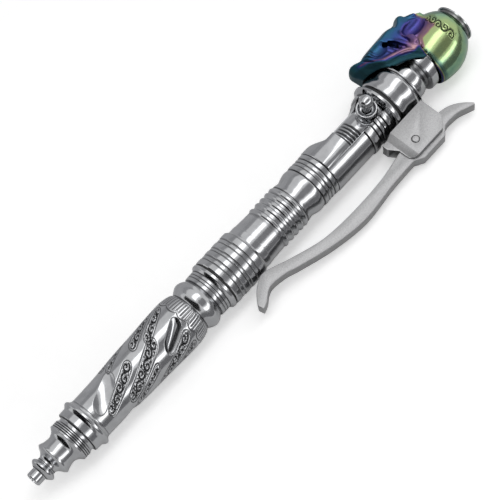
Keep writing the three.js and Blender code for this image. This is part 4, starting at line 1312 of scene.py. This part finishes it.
def remesh(piece, voxel):
    """Grows one even skin round everything in the piece."""
    add_modifier(piece, "REMESH", mode="VOXEL", voxel_size=voxel, adaptivity=0.0)


print("a ball of clay has", BALL_SEGMENTS * BALL_RINGS, "faces")

# %% [markdown]
# ## Skull blanks
# The cranium is turned, leant towards the face and pressed narrower at the sides. The face's block is
# turned too, from the profile of its front, and then cut to the skull's side view and plan.

# %% Skull blanks
CHIN = collar_end - 6.5
CRANIUM = 7.4
SKULL_HALF_WIDTH = 6.6
LEAN = 1.1
rim = neck_end - 1.2
cranium = lathe([(rim, 0.0), (rim, 5.9), (rim + 0.25, 6.25), (rim + 0.8, 6.45)]
                + curve([(neck_end - 0.1, 6.5), (neck_end + 0.8, 6.85), (neck_end + 3.8, CRANIUM),
                         (neck_end + 6.1, 7.25), (neck_end + 7.6, 6.8), (neck_end + 8.6, 6.35),
                         (skull_top - 1.0, 5.45), (skull_top - 0.2, 4.65), (skull_top, 4.45)])
                + [(skull_top, 0.0)], "cranium_clay", closed=False, sides=64, edge=0)
cranium_points = get_points(cranium)
cranium_points[:, 1] += LEAN * np.clip((cranium_points[:, 0] - neck_end) / (skull_top - neck_end), 0, 1)
cranium_points[:, 2] *= SKULL_HALF_WIDTH / CRANIUM
set_points(cranium, cranium_points)

front_outline = curve([
    (CHIN + 1.2, 9.9), (CHIN + 1.5, 10.8), (CHIN + 2.2, 11.15), (CHIN + 3.2, 10.8), (CHIN + 4.2, 10.3),
    (CHIN + 5.8, 10.6), (CHIN + 8.0, 10.75), (CHIN + 11.5, 10.9), (CHIN + 12.9, 10.95), (CHIN + 14.4, 10.6),
    (CHIN + 15.1, 10.15), (skull_top - 9.4, 10.5), (skull_top - 8.3, 11.2), (skull_top - 7.4, 10.8),
    (skull_top - 6.8, 9.8), (skull_top - 5.0, 9.0), (skull_top - 3.4, 8.2),
])
face_section = [(CHIN + 1.2, 0.0)] + front_outline + [(skull_top - 3.4, 0.0)]
face = lathe(face_section, "face_clay", closed=False, edge=0)
side_outline = [
    (CHIN + 1.0, 13.0), (CHIN + 1.2, 9.6), (CHIN + 1.8, 6.6), (CHIN + 3.2, 5.4), (CHIN + 4.8, 4.4),
    (CHIN + 5.6, 3.4), (CHIN + 6.4, 2.4), (CHIN + 8.4, 1.5), (CHIN + 10.1, 0.8), (CHIN + 11.7, -0.3),
    (CHIN + 13.0, -1.6), (skull_top, -1.6), (skull_top, 13.0),
]
side_view = slab(side_outline, "side_view_cutter", CUTTER_WIDTH)
swing(side_view, 180)
plan_halves = [
    (CHIN + 1.0, 0.9), (CHIN + 1.8, 2.0), (CHIN + 2.7, 3.3), (CHIN + 4.0, 4.5), (CHIN + 5.1, 5.7),
    (CHIN + 6.2, 6.4), (CHIN + 9.0, 6.6), (CHIN + 13.0, 6.0), (CHIN + 17.0, 5.3), (skull_top - 6.0, 4.4),
    (skull_top - 3.0, 3.4),
]
plan_outline = plan_halves + [(x, -half) for x, half in plan_halves[::-1]]
plan_view = slab(plan_outline, "plan_cutter", LONG_CUTTER)
combine(side_view, "INTERSECT", plan_view)
combine(face, "INTERSECT", side_view)
print("cranium", len(cranium.data.polygons), "faces, face", len(face.data.polygons), "faces")

# %% [markdown]
# ## Ropes of clay
# A carver lays ropes of wax where an edge has to stand out. Each rope is a row of overlapping balls that
# follows a curve from front to back and is doubled on the other side. Joined and remeshed with the
# blanks they melt into one skin.

# %% Jaw, cheekbones, temple and brow
CLAY_VOXEL = 0.22
jaw_edge = [(CHIN + 2.4, 9.9, 0.5), (CHIN + 3.2, 9.0, 1.9), (CHIN + 4.3, 8.0, 3.5), (CHIN + 5.3, 6.4, 5.1),
            (CHIN + 6.6, 4.6, 6.2), (CHIN + 8.7, 3.6, 6.7), (CHIN + 11, 2.7, 6.7), (CHIN + 12.7, 1.4, 6.4),
            (CHIN + 13.9, -0.3, 6.15)]
cheekbone = [(CHIN + 10.9, 9.3, 3.2), (CHIN + 11.7, 7.2, 5.2), (CHIN + 12.6, 4.6, 6.3),
             (CHIN + 13.3, 2.2, 6.6), (CHIN + 13.9, 0.9, 6.6)]
temple = [(CHIN + 13.6, 8.2, 4.0), (CHIN + 14.6, 6.0, 5.6), (CHIN + 14.9, 3.9, 6.4), (CHIN + 14.6, 2.2, 6.7)]
brow = [(skull_top - 9.9, 9.5, 2.2), (skull_top - 7.6, 8.8, 3.6), (skull_top - 5.4, 7.6, 4.6)]
clay = [cranium, face, ball(skull_top - 8.6, 4.6, 0, 6.6, 5.6, 5.9)]
clay += rope(jaw_edge, [1.1, 0.9, 0.85, 0.75, 0.55], balls=36)
clay += rope(cheekbone, [0.65, 0.6, 0.6, 0.65], balls=22)
clay += rope(temple, [0.8, 0.8, 0.9], balls=16)
clay += rope(brow, [0.9, 0.8, 0.5], balls=14)
clay.append(ball(skull_top - 8.3, 10.2, 0, 0.9, 1.0, 1.5))
print("the skull is built from", len(clay), "pieces of clay")
skull = join(clay, "skull_carved")
remesh(skull, CLAY_VOXEL)

# %% [markdown]
# ## Carving
# What a carver cuts away is cut here by one joined tool: the eye sockets, the dish of the cheek, the gap
# behind the cheekbone, a crease at the temple and the nose. A turned tool hollows the skull for the neck.
# The skin is remeshed once more after the cuts, so that every edge is softly rounded, as on cast metal.

# %% Carving the skull
CUTTER_VOXEL = 0.2
SKIN_VOXEL = 0.15
SOCKET = (skull_top - 8.0, 5.5, 6.6)
SOCKET_SIZE = (3.5, 2.2, 2.5)
sockets = [ball(SOCKET[0], SOCKET[1], side * SOCKET[2], *SOCKET_SIZE, "socket") for side in (-1, 1)]
dishes = [ball(CHIN + 7.9, 7.6, side * 7.4, 2.7, 2.3, 2.0, "dish") for side in (-1, 1)]
gap = [(CHIN + 9.7, 9.0, 3.9), (CHIN + 10.4, 7.2, 5.2), (CHIN + 11.1, 5.6, 6.0), (CHIN + 11.7, 4.2, 6.4)]
deep_gap = [(CHIN + 9.9, 8.0, 3.6), (CHIN + 10.6, 6.6, 4.8), (CHIN + 11.2, 5.2, 5.4)]
crease = [(CHIN + 15.4, 4.3, 6.4), (CHIN + 15.7, 3.0, 6.9), (CHIN + 15.4, 1.7, 7.1), (CHIN + 14.7, 0.7, 7.1)]
gaps = rope(gap, [0.55, 0.95, 1.0, 0.5], balls=14, name="gap")
gaps += rope(deep_gap, [0.5, 0.8, 0.5], balls=8, name="gap")
creases = rope(crease, [0.25, 0.4, 0.35, 0.2], balls=14, name="crease")
nose = [ball(skull_top - 10.4, 11.2, side * 0.75, 1.0, 1.5, 0.7, "nose") for side in (-1, 1)]
cutters = join(sockets + dishes + gaps + creases + nose, "carving_cutter")
remesh(cutters, CUTTER_VOXEL)
hollow_section = [(CHIN - 2, 0.0), (CHIN - 2, 6.8), (collar_end + 0.3, 6.8), (collar_end + 1.1, 5.8),
                  (neck_end, 5.8), (neck_end, 0.0)]
hollow = lathe(hollow_section, "hollow_cutter", closed=False, edge=0)
stud_section = [(neck_end - 2, 0.0), (neck_end - 2, STUD), (skull_top + 2, STUD), (skull_top + 2, 0.0)]
stud_hole = lathe(stud_section, "stud_hole_cutter", closed=False, sides=ROD_SIDES, edge=0)
combine(skull, "DIFFERENCE", cutters, hollow, stud_hole)
remesh(skull, SKIN_VOXEL)
add_modifier(skull, "SMOOTH", factor=0.5, iterations=3)
print("the carved skin has", len(skull.data.vertices), "points")

# %% [markdown]
# ## Teeth, folds and scroll
# Teeth, the cheek's folds and the band of scrolls on the dome are only tenths of a millimetre deep, so
# the skin's points are pushed in along their normals by waves, each inside its own window.

# %% Teeth, folds and scroll of the skull
TOOTH_PITCH = 0.85
TOOTH_DEPTH = 0.22
FOLD_PITCH = 1.1
FOLD_DEPTH = 0.16
BAND_WIDTH = 2.1
BAND_MIDDLE = skull_top - 4.3
BAND_ANGLES = (58, 134)
SCROLL_DEPTH = 0.12


def window(values, low, high, soft):
    """One between two limits and nought outside, with soft ends."""
    return np.clip((values - low) / soft, 0, 1) * np.clip((high - values) / soft, 0, 1)


points, normals = get_points(skull), get_points(skull, "normal")
x, y, side = points[:, 0], points[:, 1], np.abs(points[:, 2])
away = np.hypot(y, points[:, 2])
outside = np.clip(1.0 + 2.5 * np.sum(points[:, 1:] * normals[:, 1:], axis=1) / away, 0, 1)

slant = x + 0.45 * (y - 9.0)
teeth = np.clip(-2.2 * np.cos(2 * math.pi * slant / TOOTH_PITCH) - 1.0, 0, 1)
teeth *= window(y + 0.35 * side, 8.3, 11.4, 0.3) * window(x, CHIN + 4.0, CHIN + 7.2, 0.3) * outside
folds = np.clip(-1.3 * np.cos(2 * math.pi * (x + 0.35 * y) / FOLD_PITCH) - 0.1, 0, 1)
folds *= window(y, 3.6, 6.4, 0.7) * window(x, CHIN + 8.4, CHIN + 12.0, 0.5) * (side > 4.6) * outside
from_back = np.degrees(np.arctan2(side, -y))
band = window(x, BAND_MIDDLE - BAND_WIDTH / 2, BAND_MIDDLE + BAND_WIDTH / 2, 0.15)
band *= window(from_back, *BAND_ANGLES, 2)
scroll = band * (1 - scrolls(away * np.radians(from_back), (x - BAND_MIDDLE) * 0.9, 1.0))
cut = TOOTH_DEPTH * teeth + FOLD_DEPTH * folds + SCROLL_DEPTH * scroll
points -= normals * cut[:, None]
set_points(skull, points)
print("the deepest cut is", round(float(cut.max()), 2), "mm")

# %% [markdown]
# ## Heat, soot and painted shade
# Heated titanium grows a clear oxide whose thickness sets its colour, so the jeweller plays a torch over
# the skull: the dome stays green and gold, the face runs through rose and violet to blue and teal. The
# soot stays in the carved lines. The jaw's ridge is lightened as a painted highlight, and the inside,
# the hollow behind the cheekbone, the underside of the jaw and the rim are darkened as painted shade.
# Both are stored on the skin, as tempering and recess, for the material to read.

# %% Where the skull is heated, where soot stays and where shade is painted
RIM_HEAT = 0.02
SOCKET_HEAT = 0.55
SOCKET_EDGE = 1.12
JAW_RIDGE_HIGHLIGHT_HEAT = 0.41
UNDER_JAW_SHADE_HEAT = 0.86
face_heat = np.interp(y, [1.0, 2.6, 3.6, 5.0, 8.0, 10.4], [0.43, 0.46, 0.5, 0.59, 0.73, 0.88])
dome_heat = np.interp(from_back, [20, 60, 95, 135, 180], [0.12, 0.24, 0.27, 0.14, 0.1])
dome_heat -= 0.1 * np.clip((x - skull_top + 3.5) / 3.0, 0, 1)
heat = dome_heat + (face_heat - dome_heat) * np.clip((skull_top - 3.9 - x) / 1.6, 0, 1)
border = np.interp(x, [neck_end - 1.0, neck_end + 0.3, neck_end + 1.7], [-0.6, 0.3, 2.0])
heat += (dome_heat - heat) * np.clip((border - y) / 0.8, 0, 1)
rim_band = np.clip((neck_end + 0.6 - x) / 1.0, 0, 1) * np.clip((0.4 - y) / 0.8, 0, 1)
heat += (RIM_HEAT - heat) * rim_band
heat = np.maximum(heat, np.interp(x, [CHIN + 1.5, CHIN + 6.0], [1.0, 0.0]))
from_socket = [(at - middle) / size for at, middle, size in zip((x, y, side), SOCKET, SOCKET_SIZE)]
in_socket = np.linalg.norm(from_socket, axis=0) < SOCKET_EDGE
heat = np.where(in_socket, SOCKET_HEAT + 0.05 * (y - 5.5) / 2, heat)


def beyond_balls(balls):
    """How far each point of the skin is outside the nearest of some (x, y, z, radius) balls."""
    gaps_to = [np.hypot(np.hypot(x - a, y - b), side - c) - radius for a, b, c, radius in balls]
    return np.min(gaps_to, axis=0)


gap_depth = beyond_balls([(CHIN + 9.9, 8.6, 3.7, 0.65), (CHIN + 10.4, 7.4, 4.6, 0.85),
                          (CHIN + 10.8, 6.3, 5.2, 0.9), (CHIN + 11.3, 5.2, 5.7, 0.85)])
crease_depth = beyond_balls([(CHIN + 15.5, 3.8, 6.5, 0), (CHIN + 15.7, 3.0, 6.7, 0),
                             (CHIN + 15.4, 1.9, 6.9, 0), (CHIN + 14.8, 0.8, 6.9, 0)])
ridge_y = np.interp(x, [CHIN + 1.8, CHIN + 4.3, CHIN + 6.6, CHIN + 8.7, CHIN + 12.7],
                    [9.5, 7.5, 4.2, 3.2, 1.0])
# Painted highlight: a lighter, greyer tone along the jaw's ridge, where light catches it.
jaw_ridge = np.clip(1.5 - np.abs(y - ridge_y - 0.5) / 0.3, 0, 1) * window(x, CHIN + 2.6, CHIN + 12.4, 0.8)
heat += (JAW_RIDGE_HIGHLIGHT_HEAT - heat) * 0.85 * jaw_ridge * outside
# Painted shade: below the jaw's ridge the colour is pushed to a dark teal and then darkened further.
under_jaw = np.clip((ridge_y + 0.1 - y) / 0.6, 0, 1) * np.clip((CHIN + 14.3 - x) / 0.8, 0, 1)
heat += (UNDER_JAW_SHADE_HEAT - heat) * under_jaw
# Soot stays in the teeth, folds, scroll and temple crease. The skull's inside, the hollow behind the
# cheekbone, the underside of the jaw and the low side of the rim are darkened as painted shade.
soot_and_shade = np.maximum.reduce([
    0.95 * teeth, 0.7 * folds, 0.95 * scroll, 0.85 * (1 - outside), 0.5 * under_jaw, 0.5 * rim_band,
    np.clip(-gap_depth / 0.25, 0, 1), np.clip((0.5 - crease_depth) / 0.15, 0, 0.9),
])
set_attribute(skull, "tempering", heat)
set_attribute(skull, "recess", soot_and_shade)
print("heat runs from", round(float(heat.min()), 2), "to", round(float(heat.max()), 2))

# %% [markdown]
# ## Heat-coloured titanium
# The oxide's colours follow its thickness in one fixed order, so a single ramp of them serves the whole
# skull. Clouds of about two millimetres shift the heat a little, as a torch does, and the thicker oxide
# is duller. Where soot stays, and where shade is painted, the metal is a rough black.

# %% Heat-coloured titanium
HEAT_CLOUD_MM = 2.2
SOOT_AND_SHADE_GRAIN_MM = 0.3
CAST_GRAIN_MM = 0.5
CAST_HEIGHT_MM = 0.01
SOOT_AND_SHADE_ROUGHNESS = 0.55
OXIDE_COLOURS = [(0.0, "42686a"), (0.12, "789a80"), (0.22, "9cb27e"), (0.32, "a4b27c"), (0.4, "927470"),
                 (0.47, "74587a"), (0.56, "4a448a"), (0.66, "344a80"), (0.76, "2c5670"), (0.88, "2a565f"),
                 (1.0, "344f55")]


def make_heat_coloured():
    """Titanium whose colour follows the tempering attribute, black where the recess attribute is high."""
    material, tree, shader, place = new_material("heat_coloured_titanium")
    shader.inputs["Metallic"].default_value = 1.0
    clouds = add_node(tree, "ShaderNodeTexNoise", lumps(HEAT_CLOUD_MM, 4), {"Vector": place}).outputs["Fac"]
    grain = add_node(tree, "ShaderNodeTexNoise", lumps(SOOT_AND_SHADE_GRAIN_MM), {"Vector": place}).outputs["Fac"]
    cast = add_node(tree, "ShaderNodeTexNoise", lumps(CAST_GRAIN_MM), {"Vector": place}).outputs["Fac"]
    tempering = add_node(tree, "ShaderNodeAttribute", {"attribute_name": "tempering"}).outputs["Fac"]
    recess = add_node(tree, "ShaderNodeAttribute", {"attribute_name": "recess"}).outputs["Fac"]
    drift = add_node(tree, "ShaderNodeMapRange", {"To Min": -0.1, "To Max": 0.1}, {"Value": clouds})
    warm = add_node(tree, "ShaderNodeMath", {"operation": "ADD"}, {0: tempering, 1: drift.outputs["Result"]})
    warm = warm.outputs[0]
    oxide = add_node(tree, "ShaderNodeValToRGB", {"stops": OXIDE_COLOURS}, {"Fac": warm})
    # This rough black stands for soot in carved lines and for painted shade.
    black = add_node(tree, "ShaderNodeValToRGB", {"stops": [(0.3, "0b0c0d"), (0.7, "1d2022")]},
                     {"Fac": grain})
    tone = add_node(tree, "ShaderNodeMix", {"data_type": "RGBA"},
                    {0: recess, 6: oxide.outputs["Color"], 7: black.outputs["Color"]})
    duller = {"From Min": 0.3, "From Max": 0.5, "To Min": 0.16, "To Max": 0.38}
    gloss = add_node(tree, "ShaderNodeMapRange", duller, {"Value": warm}).outputs["Result"]
    rough = add_node(tree, "ShaderNodeMix", {3: SOOT_AND_SHADE_ROUGHNESS}, {0: recess, 2: gloss})
    pits = add_node(tree, "ShaderNodeBump", {"Strength": 0.6, "Distance": CAST_HEIGHT_MM * MM},
                    {"Height": cast})
    tree.links.new(tone.outputs[2], shader.inputs["Base Color"])
    tree.links.new(rough.outputs[0], shader.inputs["Roughness"])
    tree.links.new(pits.outputs["Normal"], shader.inputs["Normal"])
    return material


heat_coloured_titanium = make_heat_coloured()
finish_piece(skull, heat_coloured_titanium, "barrel", "skull", smooth=60)

# %% [markdown]
# ## Washer and button
# The button that closes the top of the skull is a shallow polished dome on a dark washer. Both sit a
# little towards the face, like the crown of the skull, and the washer's hole stays on the stud.

# %% Washer and button
BUTTON_SHIFT = 0.93
washer_start, washer_end = span("finial_washer")
washer = lathe([(washer_start, STUD), (washer_start, 4.1), (washer_start + 0.1, 4.2), (washer_end, 4.2),
                (washer_end, STUD)], "washer_turned", edge=0)
washer_points = get_points(washer)
away = np.hypot(washer_points[:, 1], washer_points[:, 2])
washer_points[:, 1] += BUTTON_SHIFT * (away > STUD + 0.1)
set_points(washer, washer_points)
finish_piece(washer, drawn_steel, "barrel", "finial_washer")

button_section = [(washer_end, 0.0), (washer_end, 4.7), (washer_end + 0.1, 4.8), (washer_end + 0.3, 4.8)]
button_section += curve([(washer_end + 0.4, 4.7), (washer_end + 0.62, 4.1), (washer_end + 0.95, 3.0),
                         (washer_end + 1.25, 1.6), (pen_length - 0.03, 0.4)]) + [(pen_length - 0.02, 0.0)]
button = lathe(button_section, "button_turned", closed=False, edge=0.03)
button.data.transform(Matrix.Translation((0, BUTTON_SHIFT, 0)))
finish_piece(button, polished_steel, "barrel", "finial_button")
